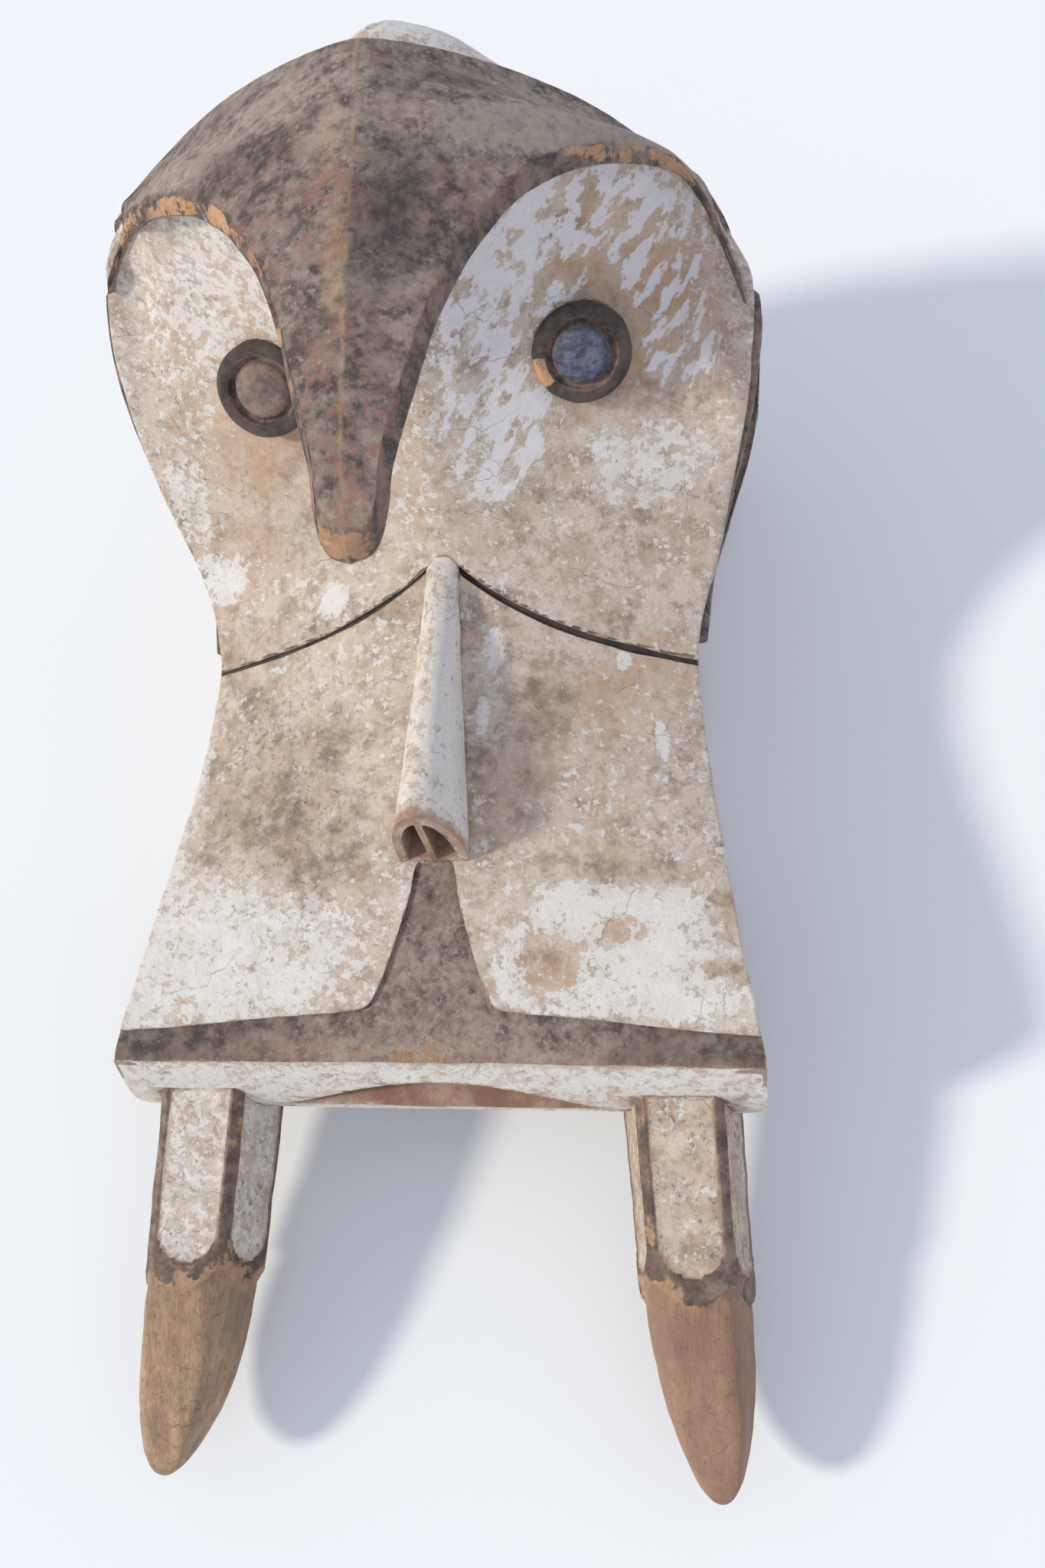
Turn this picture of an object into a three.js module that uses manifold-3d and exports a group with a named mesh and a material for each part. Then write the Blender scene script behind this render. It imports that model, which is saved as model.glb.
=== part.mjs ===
// Elephant mask of the helmet kind, carved from one block of wood and lying on its open rim.
// Millimetres, +Z up, tusks towards -Y. The origin is on the ground under the middle of the mask.
//
// The face is a long plate, and most sizes are given in the plate's own frame:
// x across, u back along the plate from its front edge, w square to the plate.
import * as THREE from 'three';
import { mergeVertices } from 'three/addons/utils/BufferGeometryUtils.js';
import Module from 'manifold-3d';

const wasm = await Module();
wasm.setup();

// How the plate lies above the ground
const PLATE_SLOPE = THREE.MathUtils.degToRad(6);
const PLATE_FRONT_HEIGHT = 104;
const FOOTPRINT_MIDDLE = 116;
const FOOTPRINT_ASIDE = 3;

// Hand carving left the left brow further back than the right one, the left arch above its eye lower,
// and the cheeks and the crown a little off the middle
const BROW_SKEW = 4;
const BROW_SKEW_START_U = 225;
const CROWN_LEAN = 4;
const CHEEK_LEAN_X = 50;
const CHEEK_LEAN_U = 200;
const BROW_EASE = 0.6;
const ARCH_SKEW = 7;
const ARCH_RISE = 16;
const ARCH_START_U = 235;
const ARCH_TOP_U = 300;
const ARCH_END_U = 338;

// Plan of the plate and the helmet: half widths and where they are along the plate
const SNOUT_HALF_WIDTH = 132.5;
const SNOUT_FLARE = 1.3;
const WAIST_U = 170;
const WAIST_HALF_WIDTH = 106;
const CHEEK_U = 288;
const CHEEK_HALF_WIDTH = 134;
const BACK_START_U = 302;
const BACK_U = 390;
const PLATE_CROWN = 3;
const PLATE_CURVE = 1.6;
const EDGE_SAG = 25;
const SAG_LENGTH = 340;

// The front end with the mouth
const END_HEIGHT = 42;
const CORNER_RADIUS = 6;
const CORNER_EASE = 0.9;
const LIP_PROTRUSION = 16;
const LIP_REACH = 70;
const THROAT_START_U = 66;
const THROAT_END_U = 132;
const BODY_BOTTOM = -190;
const SIDE_TAPER = 0.1;
const WALL_RECESS = 7;
const WALL_STEP = 16;
const BACK_TAPER = 16;
const BACK_SPRING = 30;
const BROW_SPRING = 10;
const BACK_STRAIGHTNESS = 1.5;
const BACK_ROUND_AT = 0.12;
const BACK_SINK = 20;
const CAP_START_U = 310;
const CAP_OVERLAP = 2;
const SPACE_MARGIN = 0.7;

// The upper face: a ramp that climbs from the groove, and a steep cove below the brow
const RAMP_START_U = 227;
const RAMP_SLOPE_CENTRE = 2.2;
const RAMP_SLOPE_EYE = 1.25;
const RAMP_SLOPE_EDGE = 0.9;
const RAMP_SOFTNESS = 16;
const COVE_DEPTH = 27;
const ROOT_CENTRE_U = 280;
const ROOT_ARCH_U = 303;
const ROOT_CORNER_U = 306;
const ARCH_X = 84;

// The forehead, a cap that runs out over the face as a beak
const BROW_X = 130;
const BROW_DROP = 84;
const BROW_CREASE = 6;
const BROW_DROP_POWER = 1.75;
const CROWN_DROP_POWER = 1.35;
const CROWN_APEX_U = 341;
const CROWN_SWEEP = 36;
const CROWN_SWEEP_POWER = 5;
const CROWN_SKEW = 6;
const RIDGE_TOP = 174;
const RIDGE_TOP_U = 240;
const RIDGE_FALL_FRONT = 11;
const BEAK_LENGTH = 83;
const BEAK_FALL_END = 1.2;
const RIDGE_FALL_BACK = 14;
const RIM_HEIGHT = 8;
const CAP_THICKNESS = 17;
const CAP_LIP = 3;
const RIM_FLARE = 2.5;
// From the beak's tip along its edge and the arch above an eye, to the brow corner
const RIM_PLAN = [[0, 152.5], [6, 154.5], [9, 159], [10.5, 167], [12, 180], [18, 203], [25, 230], [33, 251],
  [41, 265], [50, 276], [66, 287], [85, 294], [100, 299], [115, 301], [125, 300], [BROW_X, 296]];

// The groove across the waist, and the step that borders the dark paint in front
const GROOVE_START_X = 7;
const GROOVE_START_U = 204;
const GROOVE_END_U = 170;
const GROOVE_SAG = 9;
const GROOVE_SAG_SKEW = 0.8;
const GROOVE_WIDTH = 3;
const GROOVE_DEPTH = 2.5;
const STEP_DEPTH = 1.6;
// From the middle outwards: how far back the dark paint reaches
const STEP_PLAN = [[0, 84], [7, 80], [10, 66], [16, 45], [22, 28], [34, 20], [70, 17], [128, 12], [140, 12]];

// The nose
const NOSE_TOP_U = 212;
const NOSE_END_U = 81;
const NOSE_END_LEAN = 10;
const NOSE_HEIGHT = 34;
const NOSE_TOP_HALF_WIDTH = 7;
const NOSE_RISE = 0.75;
const NOSE_SKEW = 1.7;
const NOSE_FLAT_U = 200;
const NOSE_SINK = 8;
const NOSE_ROUNDNESS = 0.82;
const NOSE_HALF_WIDTH = 15;
const NOSTRIL_DEPTH = 34;
const NOSTRIL_WALL = 3.8;
const NOSTRIL_TAPER = 0.45;
const SEPTUM = 2.8;

// The eyes
const EYE_X = 66;
const EYES = [{ side: -1, x: 66, u: 267 }, { side: 1, x: 63, u: 269 }];
const EYE_RADIUS = 19;
const PUPIL_RADIUS = 11.5;
const EYE_HEIGHT = 8.5;
const EYE_ROOT = 22;
const EYE_GROOVE = 3;
const PUPIL_DOME = 2;
const EYE_TILT_FRONT = THREE.MathUtils.degToRad(43);
const EYE_TILT_OUT = THREE.MathUtils.degToRad(9);

// The tusks: centre line in the plate frame, collar and section
const TUSKS = [{ side: -1, inward: 0 }, { side: 1, inward: 3 }];
const TUSK_PATH = [[96, 42, -30], [99, 0, -38], [102.5, -50, -43], [105.5, -88, -47], [110, -128, -50],
  [115, -165, -50]];
const TUSK_HALF_WIDTH = 22;
const TUSK_ROOT_SWELL = 1.09;
const TUSK_HALF_HEIGHT = 21;
const TUSK_SQUARENESS = 5;
const COLLAR_AT = 0.62;
const COLLAR_STEP = 2.2;
const COLLAR_LOBE = 0.045;
const PANEL_FROM = 0.22;
const PANEL_TO = 0.57;
const PANEL_HALF = 0.72;
const PANEL_EDGE = 0.82;
const PANEL_DEPTH = 1.8;
const TUSK_SPLAY = 0.2;
const TIP_POWER = 2.1;

// The hollow for the head, and the mouth, a recess between the lips
const WALL_ACROSS = 13;
const WALL_DOWN = 19;
const HOLLOW_CENTRE_U = 254;
const HOLLOW_HALF_LENGTH = 104;
const HOLLOW_HALF_WIDTH = 92;
const HOLLOW_TOP = 45;
const HOLLOW_SPRING = -100;
const HOLLOW_SQUARENESS = 2.6;
const HOLLOW_POINTS = 12;
const MOUTH_HALF_WIDTH = 65;
const MOUTH_TOP = -13;
const MOUTH_BOTTOM = -35;
const MOUTH_DEPTH = 48;
const MOUTH_NARROWING = 8;

// The ears, in low relief on the cheeks
const EAR_HANG = 56;
const EAR_FALL = THREE.MathUtils.degToRad(50);
const EAR_RELIEF_FRONT = 5;
const EAR_RELIEF_BACK = 10;
const EAR_LIP = 2;
const EAR_SCALLOPS = 12;
const SCALLOP_DEPTH = 0.05;
const EAR_TOP_STEPS = 8;
const EAR_INSET = 0.35;
const EAR_DISH = 4;
const EAR_ROOT = 12;
const EAR_FRONT_U = 178;
const EAR_BACK_U = 304;
const EAR_BELOW_EDGE = 5;

const { clamp, lerp, smoothstep } = THREE.MathUtils;

// Shape of the face and forehead, as heights above the plate

function halfWidth(u) {
  if (u < WAIST_U) {
    const along = Math.max(u, 0) / WAIST_U;
    const corner = CORNER_EASE * Math.max(0, 1 - Math.max(u, 0) / CORNER_RADIUS) ** 2;
    return WAIST_HALF_WIDTH + (SNOUT_HALF_WIDTH - WAIST_HALF_WIDTH) * (1 - along) ** SNOUT_FLARE - corner;
  }
  if (u < CHEEK_U) return lerp(WAIST_HALF_WIDTH, CHEEK_HALF_WIDTH, smoothstep(u, WAIST_U, CHEEK_U));
  return CHEEK_HALF_WIDTH * Math.sqrt(Math.max(0, 1 - ((u - CHEEK_U) / (BACK_U - CHEEK_U)) ** 2));
}

// Height of the median ridge; in front of the beak's tip it stays level, so that it clears the snout's corners
function ridgeHeight(u) {
  const forward = Math.min((RIDGE_TOP_U - u) / BEAK_LENGTH, BEAK_FALL_END);
  if (forward > 0) return RIDGE_TOP - RIDGE_FALL_FRONT * forward ** 2;
  return RIDGE_TOP - RIDGE_FALL_BACK * ((u - RIDGE_TOP_U) / (CROWN_APEX_U - RIDGE_TOP_U)) ** 2.5;
}

// Back edge of the forehead, a little fuller on the right
function crownEdge(x) {
  const fuller = CROWN_SKEW * Math.sin(Math.PI * clamp(x / BROW_X, 0, 1));
  return CROWN_APEX_U - CROWN_SWEEP * Math.min(1, Math.abs(x) / BROW_X) ** CROWN_SWEEP_POWER + fuller;
}

// Top of the forehead: a long ridge with a slight crease that falls to both brow corners
function foreheadTop(x, u) {
  const across = Math.abs(x) / BROW_X;
  const power = lerp(BROW_DROP_POWER, CROWN_DROP_POWER, clamp((u - ROOT_ARCH_U) / CROWN_SWEEP, 0, 1));
  return ridgeHeight(u) - BROW_DROP * across ** power - BROW_CREASE * across;
}

// Where the cove meets the forehead: further forward at the keel in the middle than above the eyes
function coveRoot(x) {
  const across = Math.abs(x);
  if (across < ARCH_X) return lerp(ROOT_CENTRE_U, ROOT_ARCH_U, (across / ARCH_X) ** 0.8);
  return lerp(ROOT_ARCH_U, ROOT_CORNER_U, (across - ARCH_X) / (BROW_X - ARCH_X));
}

function plateHeight(x, u) {
  const sag = EDGE_SAG * Math.sin(Math.PI * clamp(u / SAG_LENGTH, 0, 1)) ** 2;
  const across = Math.min(1, Math.abs(x) / halfWidth(Math.min(u, CHEEK_U)));
  return PLATE_CROWN - (PLATE_CROWN + sag) * across ** PLATE_CURVE;
}

function rampHeight(x, u) {
  const across = Math.abs(x);
  const keel = Math.max(0, 1 - across / EYE_X) ** 1.5;
  const beside = clamp((across - EYE_X) / (CHEEK_HALF_WIDTH - EYE_X), 0, 1);
  const slope = lerp(lerp(RAMP_SLOPE_EYE, RAMP_SLOPE_EDGE, beside), RAMP_SLOPE_CENTRE, keel);
  const beyond = u - RAMP_START_U;
  return slope * 0.5 * (beyond + Math.hypot(beyond, RAMP_SOFTNESS));
}

// The cove climbs from the ramp to the underside of the brow
function faceHeight(x, u) {
  const root = coveRoot(x);
  const climb = foreheadTop(x, root) - RIM_HEIGHT - plateHeight(x, root) - rampHeight(x, root);
  return plateHeight(x, u) + rampHeight(x, u) + climb * Math.max(0, 1 - (root - u) / COVE_DEPTH) ** 2.5;
}

// Edge of the brow, in plan
const rimPoints = RIM_PLAN.map(([x, u]) => new THREE.Vector3(x, u, 0));
const rimCurve = new THREE.CatmullRomCurve3(rimPoints, false, 'centripetal');

// Upper surface of the body: the face, then under the forehead cap
function bodyTop(x, u) {
  return Math.min(faceHeight(x, u), foreheadTop(x, u) - RIM_HEIGHT);
}

// How far the arches above the eyes are drawn back: the right one more, but its outer leg comes down sooner
function archShift(x, u) {
  const out = Math.abs(x);
  const rise = ARCH_RISE * smoothstep(out, 20, 100) * (1 - smoothstep(out, 112, CHEEK_HALF_WIDTH));
  const inner = smoothstep(out, 16, 27) * (1 - smoothstep(out, 102, 118));
  const skew = ARCH_SKEW * Math.sign(x) * (inner - smoothstep(out, 112, 126));
  const share = smoothstep(u, ARCH_START_U, ARCH_TOP_U) * (1 - smoothstep(u, ARCH_TOP_U, ARCH_END_U));
  return (rise + skew) * share;
}

// From the plate frame to the object's frame
function place(x, u, w) {
  const [sin, cos] = [Math.sin(PLATE_SLOPE), Math.cos(PLATE_SLOPE)];
  const eased = 1 - BROW_EASE * smoothstep(u, ROOT_CENTRE_U, ROOT_CORNER_U);
  const outer = smoothstep(Math.abs(x), CHEEK_LEAN_X, BROW_X);
  const cheek = eased * outer * smoothstep(u, CHEEK_LEAN_U, EYES[0].u);
  const lean = CROWN_LEAN * Math.max(cheek, smoothstep(u, ROOT_CENTRE_U, CROWN_APEX_U));
  const skew = BROW_SKEW * (x / BROW_X) * smoothstep(u, BROW_SKEW_START_U, ROOT_CORNER_U);
  const along = u - skew + archShift(x, u);
  const [back, up] = [along * cos - w * sin, along * sin + w * cos];
  return new THREE.Vector3(x - lean + FOOTPRINT_ASIDE, back - FOOTPRINT_MIDDLE, PLATE_FRONT_HEIGHT + up);
}

// Closed solid from rings that all have the same number of points
function loft(rings) {
  const positions = [];
  const index = [];
  const count = rings[0].length;
  const sum = (ring) => ring.reduce((total, p) => total.add(p), new THREE.Vector3());
  const middle = (ring) => sum(ring).divideScalar(ring.length);
  rings.forEach((ring) => ring.forEach((p) => positions.push(p.x, p.y, p.z)));
  for (let r = 0; r + 1 < rings.length; r += 1) {
    for (let k = 0; k < count; k += 1) {
      const [a, b] = [r * count + k, r * count + ((k + 1) % count)];
      index.push(a, b, a + count, b, b + count, a + count);
    }
  }
  const last = (rings.length - 1) * count;
  const first = middle(rings[0]);
  const end = middle(rings[rings.length - 1]);
  const firstIndex = positions.length / 3;
  positions.push(first.x, first.y, first.z, end.x, end.y, end.z);
  for (let k = 0; k < count; k += 1) {
    const next = (k + 1) % count;
    index.push(firstIndex, next, k);
    index.push(firstIndex + 1, last + k, last + next);
  }
  const geometry = new THREE.BufferGeometry();
  geometry.setAttribute('position', new THREE.Float32BufferAttribute(positions, 3));
  geometry.setIndex(index);
  return toSolid(geometry);
}

// Closed manifold solid from a geometry, turned outwards
function toSolid(geometry) {
  const bare = geometry.clone();
  bare.deleteAttribute('normal');
  bare.deleteAttribute('uv');
  const merged = mergeVertices(bare, 1e-3);
  const corners = Array.from(merged.index.array);
  const kept = [];
  for (let i = 0; i < corners.length; i += 3) {
    const [a, b, c] = corners.slice(i, i + 3);
    if (a !== b && b !== c && c !== a) kept.push(a, b, c);
  }
  const vertProperties = new Float32Array(merged.attributes.position.array);
  const mesh = (order) => new wasm.Mesh({ numProp: 3, vertProperties, triVerts: new Uint32Array(order) });
  const solid = new wasm.Manifold(mesh(kept));
  if (solid.volume() > 0) return solid;
  const turned = [];
  for (let i = 0; i < kept.length; i += 3) turned.push(kept[i], kept[i + 2], kept[i + 1]);
  return new wasm.Manifold(mesh(turned));
}

// Places along a line, denser where asked: [from, to, steps] spans joined end to end
function spans(list) {
  const places = [list[0][0]];
  list.forEach(([from, to, steps]) => {
    for (let i = 1; i <= steps; i += 1) places.push(lerp(from, to, i / steps));
  });
  return places;
}

// Body of the mask: snout, cheeks and helmet as one loft of sections across the plate

const TOP_POINTS = 20;
const TOP_CROWDING = 0.86 * Math.PI;
const SIDE_STEPS = [0.04, 0.08, 0.3, 0.65, 1];
const BOTTOM_POINTS = 4;
const BACK_RINGS = 26;
const BACK_STEPS = 6;

function bottomHeight(u) {
  return lerp(-END_HEIGHT, BODY_BOTTOM, smoothstep(u, THROAT_START_U, THROAT_END_U));
}

function edgeHeight(u) {
  return bodyTop(halfWidth(u), u);
}

// Where a side wall is: below the edge of the cheek it steps back, and it comes in a little towards the rim
function wallAcross(u, w) {
  const below = smoothstep(edgeHeight(u) - w, 1, WALL_STEP);
  const back = WALL_RECESS * below * smoothstep(u, WAIST_U, WAIST_U + 60);
  const taper = SIDE_TAPER * clamp((-20 - w) / 150, 0, 1) * smoothstep(u, WAIST_U - 60, WAIST_U + 60);
  return (halfWidth(u) - back) * (1 - taper);
}

// The end face leans out to the lower lip
function leanOut(u, w) {
  const down = Math.sin(0.5 * Math.PI * clamp(-w / END_HEIGHT, 0, 1));
  return LIP_PROTRUSION * down * Math.max(0, 1 - u / LIP_REACH);
}

// Half width of a section: behind the face it stays under the cap
function sectionHalf(u) {
  if (u <= CAP_START_U) return halfWidth(u);
  return BROW_X * ((CROWN_APEX_U - u) / CROWN_SWEEP) ** (1 / CROWN_SWEEP_POWER) - CAP_OVERLAP;
}

// The upper surface in one section, from left to right
function topLine(u) {
  return spans([[-1, 1, TOP_POINTS]]).map((part) => {
    const x = sectionHalf(u) * Math.sin(0.5 * part * TOP_CROWDING) / Math.sin(0.5 * TOP_CROWDING);
    return [x, bodyTop(x, u) + (u > CAP_START_U ? CAP_OVERLAP : 0)];
  });
}

function bodySection(u) {
  const bottom = bottomHeight(u);
  const ring = topLine(u);
  const edge = ring[0][1];
  const chamfer = lerp(14, 3, smoothstep(u, 20, THROAT_END_U));
  const narrow = sectionHalf(u) / halfWidth(u);
  const heights = SIDE_STEPS.map((down) => lerp(edge, bottom + chamfer, down));
  const wall = heights.map((w) => [narrow * wallAcross(u, w), w]);
  const foot = narrow * wallAcross(u, bottom) - chamfer;
  ring.push(...wall);
  for (let i = 0; i <= BOTTOM_POINTS; i += 1) ring.push([foot * (1 - 2 * i / BOTTOM_POINTS), bottom]);
  ring.push(...wall.reverse().map(([x, w]) => [-x, w]));
  return ring.map(([x, w]) => place(x, u - leanOut(u, w), w));
}

const FACE_PLACES = spans([[224, CAP_START_U, 13]]);
const PLACES_UNDER_CAP = [316, 322, 329, 336];

function body() {
  const places = spans([[0, CORNER_RADIUS, 3], [CORNER_RADIUS, THROAT_START_U, 4],
    [THROAT_START_U, THROAT_END_U, 5], [THROAT_END_U, 196, 4], [196, FACE_PLACES[0], 3]]);
  return loft([...places, ...FACE_PLACES.slice(1), ...PLACES_UNDER_CAP].map(bodySection));
}

// Open space over the face, from which the back of the head stays clear
function spaceOverFace() {
  return loft([...FACE_PLACES.slice(-7), ...PLACES_UNDER_CAP.slice(0, -1)].map((u) => {
    const line = topLine(u).map(([x, w]) => [x, w - SPACE_MARGIN]);
    const half = sectionHalf(u);
    return [...line, [half, 2 * RIDGE_TOP], [-half, 2 * RIDGE_TOP]].map(([x, w]) => place(x, u, w));
  }));
}

// Back of the head: upright sections swept round from one brow corner to the other
function backOfHead() {
  const rings = [];
  for (let i = 0; i <= BACK_RINGS; i += 1) {
    const round = Math.PI * i / BACK_RINGS;
    const across = Math.cos(round);
    const crown = [BROW_X * across, crownEdge(BROW_X * across)];
    const wall = [(CHEEK_HALF_WIDTH - WALL_RECESS) * across, lerp(BACK_START_U, BACK_U, Math.sin(round))];
    const crest = foreheadTop(...crown) - CAP_LIP;
    const spring = lerp(BACK_SPRING, BROW_SPRING, Math.abs(across) ** 3);
    const power = lerp(1, BACK_STRAIGHTNESS, smoothstep(Math.abs(across - BACK_ROUND_AT), 0.05, 0.3));
    const ring = [[0, CHEEK_U, foreheadTop(0, CHEEK_U) - CAP_THICKNESS], [0, CHEEK_U, BODY_BOTTOM]];
    ring.push([wall[0] * (1 - SIDE_TAPER), wall[1] - BACK_TAPER * Math.sin(round), BODY_BOTTOM]);
    for (let k = 0; k <= BACK_STEPS; k += 1) {
      const turn = 0.5 * Math.PI * k / BACK_STEPS;
      const [out, up] = [Math.cos(turn) ** power, Math.sin(turn) ** power];
      ring.push([lerp(crown[0], wall[0], out), lerp(crown[1], wall[1], out), lerp(spring, crest, up)]);
    }
    [0.9, 0.75, 0.4].forEach((out) => {
      const inside = [crown[0] * out, lerp(CHEEK_U, crown[1], out)];
      ring.push([...inside, bodyTop(...inside) + (inside[1] > CAP_START_U ? CAP_LIP : -BACK_SINK)]);
    });
    rings.push(ring.map(([x, u, w]) => place(x, u, w)));
  }
  return loft(rings);
}

// Forehead cap with the beak: each ring runs from the rim back to the crown's edge and returns below
const CAP_RINGS = 36;
const CAP_STEPS = 6;
const CAP_CROWDING = 1.3;

function cap() {
  const rings = [];
  for (let i = 0; i <= CAP_RINGS; i += 1) {
    const side = 2 * i / CAP_RINGS - 1;
    const along = Math.abs(side) ** CAP_CROWDING;
    const front = rimCurve.getPointAt(along);
    const back = new THREE.Vector3(BROW_X * along, crownEdge(BROW_X * along), 0);
    const tip = Math.max(0, 1 - along * 8);
    const ring = [];
    for (let k = 0; k <= CAP_STEPS; k += 1) {
      const p = new THREE.Vector3().lerpVectors(front, back, k / CAP_STEPS);
      ring.push([p.x, p.y, foreheadTop(p.x, p.y)]);
    }
    for (let k = CAP_STEPS; k >= 0; k -= 1) {
      const [x, u, w] = ring[k];
      const inside = Math.min(1, Math.min(k, CAP_STEPS - k) / 2);
      const flare = k === 0 ? RIM_FLARE * Math.min(1, along * 6) : 0;
      const under = k === 0 ? -1 - RIM_FLARE * tip : 0;
      ring.push([x + flare, u + under, w - lerp(RIM_HEIGHT + 2 * tip, CAP_THICKNESS, inside)]);
    }
    rings.push(ring.map(([x, u, w]) => place((side < 0 ? -x : x), u, w)));
  }
  return loft(rings);
}

// Nose: a ridge that grows towards its open end, which leans back a little
function nose() {
  const rings = spans([[0, 1, 8]]).map((grown) => {
    const height = NOSE_HEIGHT * grown ** NOSE_RISE + 0.5;
    const half = NOSE_TOP_HALF_WIDTH + (NOSE_HALF_WIDTH - NOSE_TOP_HALF_WIDTH) * grown ** 1.3;
    const u = lerp(NOSE_TOP_U, NOSE_END_U, grown);
    const ring = [[-half, -NOSE_SINK], [half, -NOSE_SINK]];
    for (let i = 0; i <= 12; i += 1) {
      const turn = Math.PI * i / 12;
      ring.push([half * Math.cos(turn), height * Math.sin(turn) ** NOSE_ROUNDNESS]);
    }
    const lean = grown / NOSE_HEIGHT;
    const foot = faceHeight(0, Math.min(u, NOSE_FLAT_U));
    return ring.map(([x, w]) => {
      const across = x - NOSE_SKEW * lean * Math.max(w, 0);
      return place(across, u + NOSE_END_LEAN * lean * w, w + foot);
    });
  });
  return loft(rings);
}

// One nostril: a tube with an arched section beside the leaning septum
function nostril(side) {
  const rings = [0, 0.5, 1].map((depth) => {
    const shrink = 1 - NOSTRIL_TAPER * depth;
    const half = (NOSE_HALF_WIDTH - NOSTRIL_WALL - SEPTUM / 2) * shrink;
    const ring = [[SEPTUM / 2, 0]];
    for (let i = 0; i <= 6; i += 1) {
      const turn = 0.5 * Math.PI * i / 6;
      const w = (NOSE_HEIGHT - NOSTRIL_WALL) * Math.sin(turn) ** NOSE_ROUNDNESS * shrink;
      ring.push([half * Math.cos(turn) + SEPTUM / 2, w]);
    }
    const start = NOSE_END_U - NOSE_SINK;
    return ring.map(([x, w]) => {
      const u = lerp(start, NOSE_END_U + NOSTRIL_DEPTH, depth) + NOSE_END_LEAN * w / NOSE_HEIGHT;
      return place(side * x - NOSE_SKEW * w / NOSE_HEIGHT, u, w + PLATE_CROWN + 1);
    });
  });
  return loft(rings);
}

// Eye: a turned boss with a groove between the ring and the domed pupil
function eye({ side, x, u }) {
  const profile = [[0, -EYE_ROOT], [EYE_RADIUS + 1, -EYE_ROOT], [EYE_RADIUS + 1, EYE_HEIGHT - EYE_GROOVE],
    [EYE_RADIUS - 1, EYE_HEIGHT], [PUPIL_RADIUS + EYE_GROOVE, EYE_HEIGHT],
    [PUPIL_RADIUS + 1, EYE_HEIGHT - EYE_GROOVE], [PUPIL_RADIUS - 1, EYE_HEIGHT - 1],
    [PUPIL_RADIUS / 2, EYE_HEIGHT + PUPIL_DOME - 0.5], [0, EYE_HEIGHT + PUPIL_DOME]];
  const lathe = new THREE.LatheGeometry(profile.map(([r, y]) => new THREE.Vector2(r, y)), 20);
  const tilt = place(side * Math.tan(EYE_TILT_OUT), -Math.tan(EYE_TILT_FRONT), 1);
  const axis = tilt.sub(place(0, 0, 0)).normalize();
  const turn = new THREE.Quaternion().setFromUnitVectors(new THREE.Vector3(0, 1, 0), axis);
  const centre = place(side * x, u, faceHeight(x, u));
  lathe.applyMatrix4(new THREE.Matrix4().compose(centre, turn, new THREE.Vector3(1, 1, 1)));
  return toSolid(lathe);
}

// Tusk: a squarish arm with a recessed panel on each face, a collar with a lobed edge, and a bare tip
const PANEL_BEVEL = 0.02;
const TUSK_PLACES = spans([[0, PANEL_FROM, 1], [PANEL_FROM, PANEL_FROM + PANEL_BEVEL, 1],
  [PANEL_FROM + PANEL_BEVEL, PANEL_TO - PANEL_BEVEL, 2], [PANEL_TO - PANEL_BEVEL, PANEL_TO, 1],
  [PANEL_TO, 0.69, 5], [0.69, 0.9, 3], [0.9, 0.98, 3], [0.98, 1, 2]]);
// Places across one face of the tusk, from one corner towards the next
const TUSK_FACE = [-1, -PANEL_EDGE, -PANEL_HALF, 0, PANEL_HALF, PANEL_EDGE];

function tusk({ side, inward }) {
  const path = new THREE.CatmullRomCurve3(TUSK_PATH.map(([x, u, w]) => new THREE.Vector3(x - inward, u, w)));
  const rings = TUSK_PLACES.map((along) => {
    const centre = path.getPointAt(along);
    const bare = clamp((along - COLLAR_AT) / (1 - COLLAR_AT), 0, 1);
    const swell = lerp(TUSK_ROOT_SWELL, 1, Math.min(1, along / COLLAR_AT));
    const size = swell * Math.sqrt(Math.max(0.02, 1 - bare ** TIP_POWER));
    const ring = [];
    const besidePanel = along < PANEL_FROM + PANEL_BEVEL / 2 || along > PANEL_TO - PANEL_BEVEL / 2;
    for (let face = 0; face < 4; face += 1) {
      TUSK_FACE.forEach((part) => {
        const turn = 0.5 * Math.PI * face + Math.atan(part);
        const [c, s] = [Math.cos(turn), Math.sin(turn)];
        const powers = Math.abs(c) ** TUSK_SQUARENESS + Math.abs(s) ** TUSK_SQUARENESS;
        const square = powers ** (-1 / TUSK_SQUARENESS);
        const lobe = COLLAR_LOBE * Math.abs(Math.cos(2 * turn));
        const sleeve = along < COLLAR_AT + lobe - 0.02 ? 0 : COLLAR_STEP;
        const panel = besidePanel || Math.abs(part) > PANEL_HALF ? 0 : PANEL_DEPTH;
        const reach = size * (square - (sleeve + panel) / TUSK_HALF_WIDTH);
        const half = TUSK_HALF_WIDTH * (1 - TUSK_SPLAY * reach * s);
        const w = centre.z + TUSK_HALF_HEIGHT * reach * s;
        ring.push(place(side * (centre.x + half * reach * c), centre.y, w));
      });
    }
    return ring;
  });
  return loft(rings);
}

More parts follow.
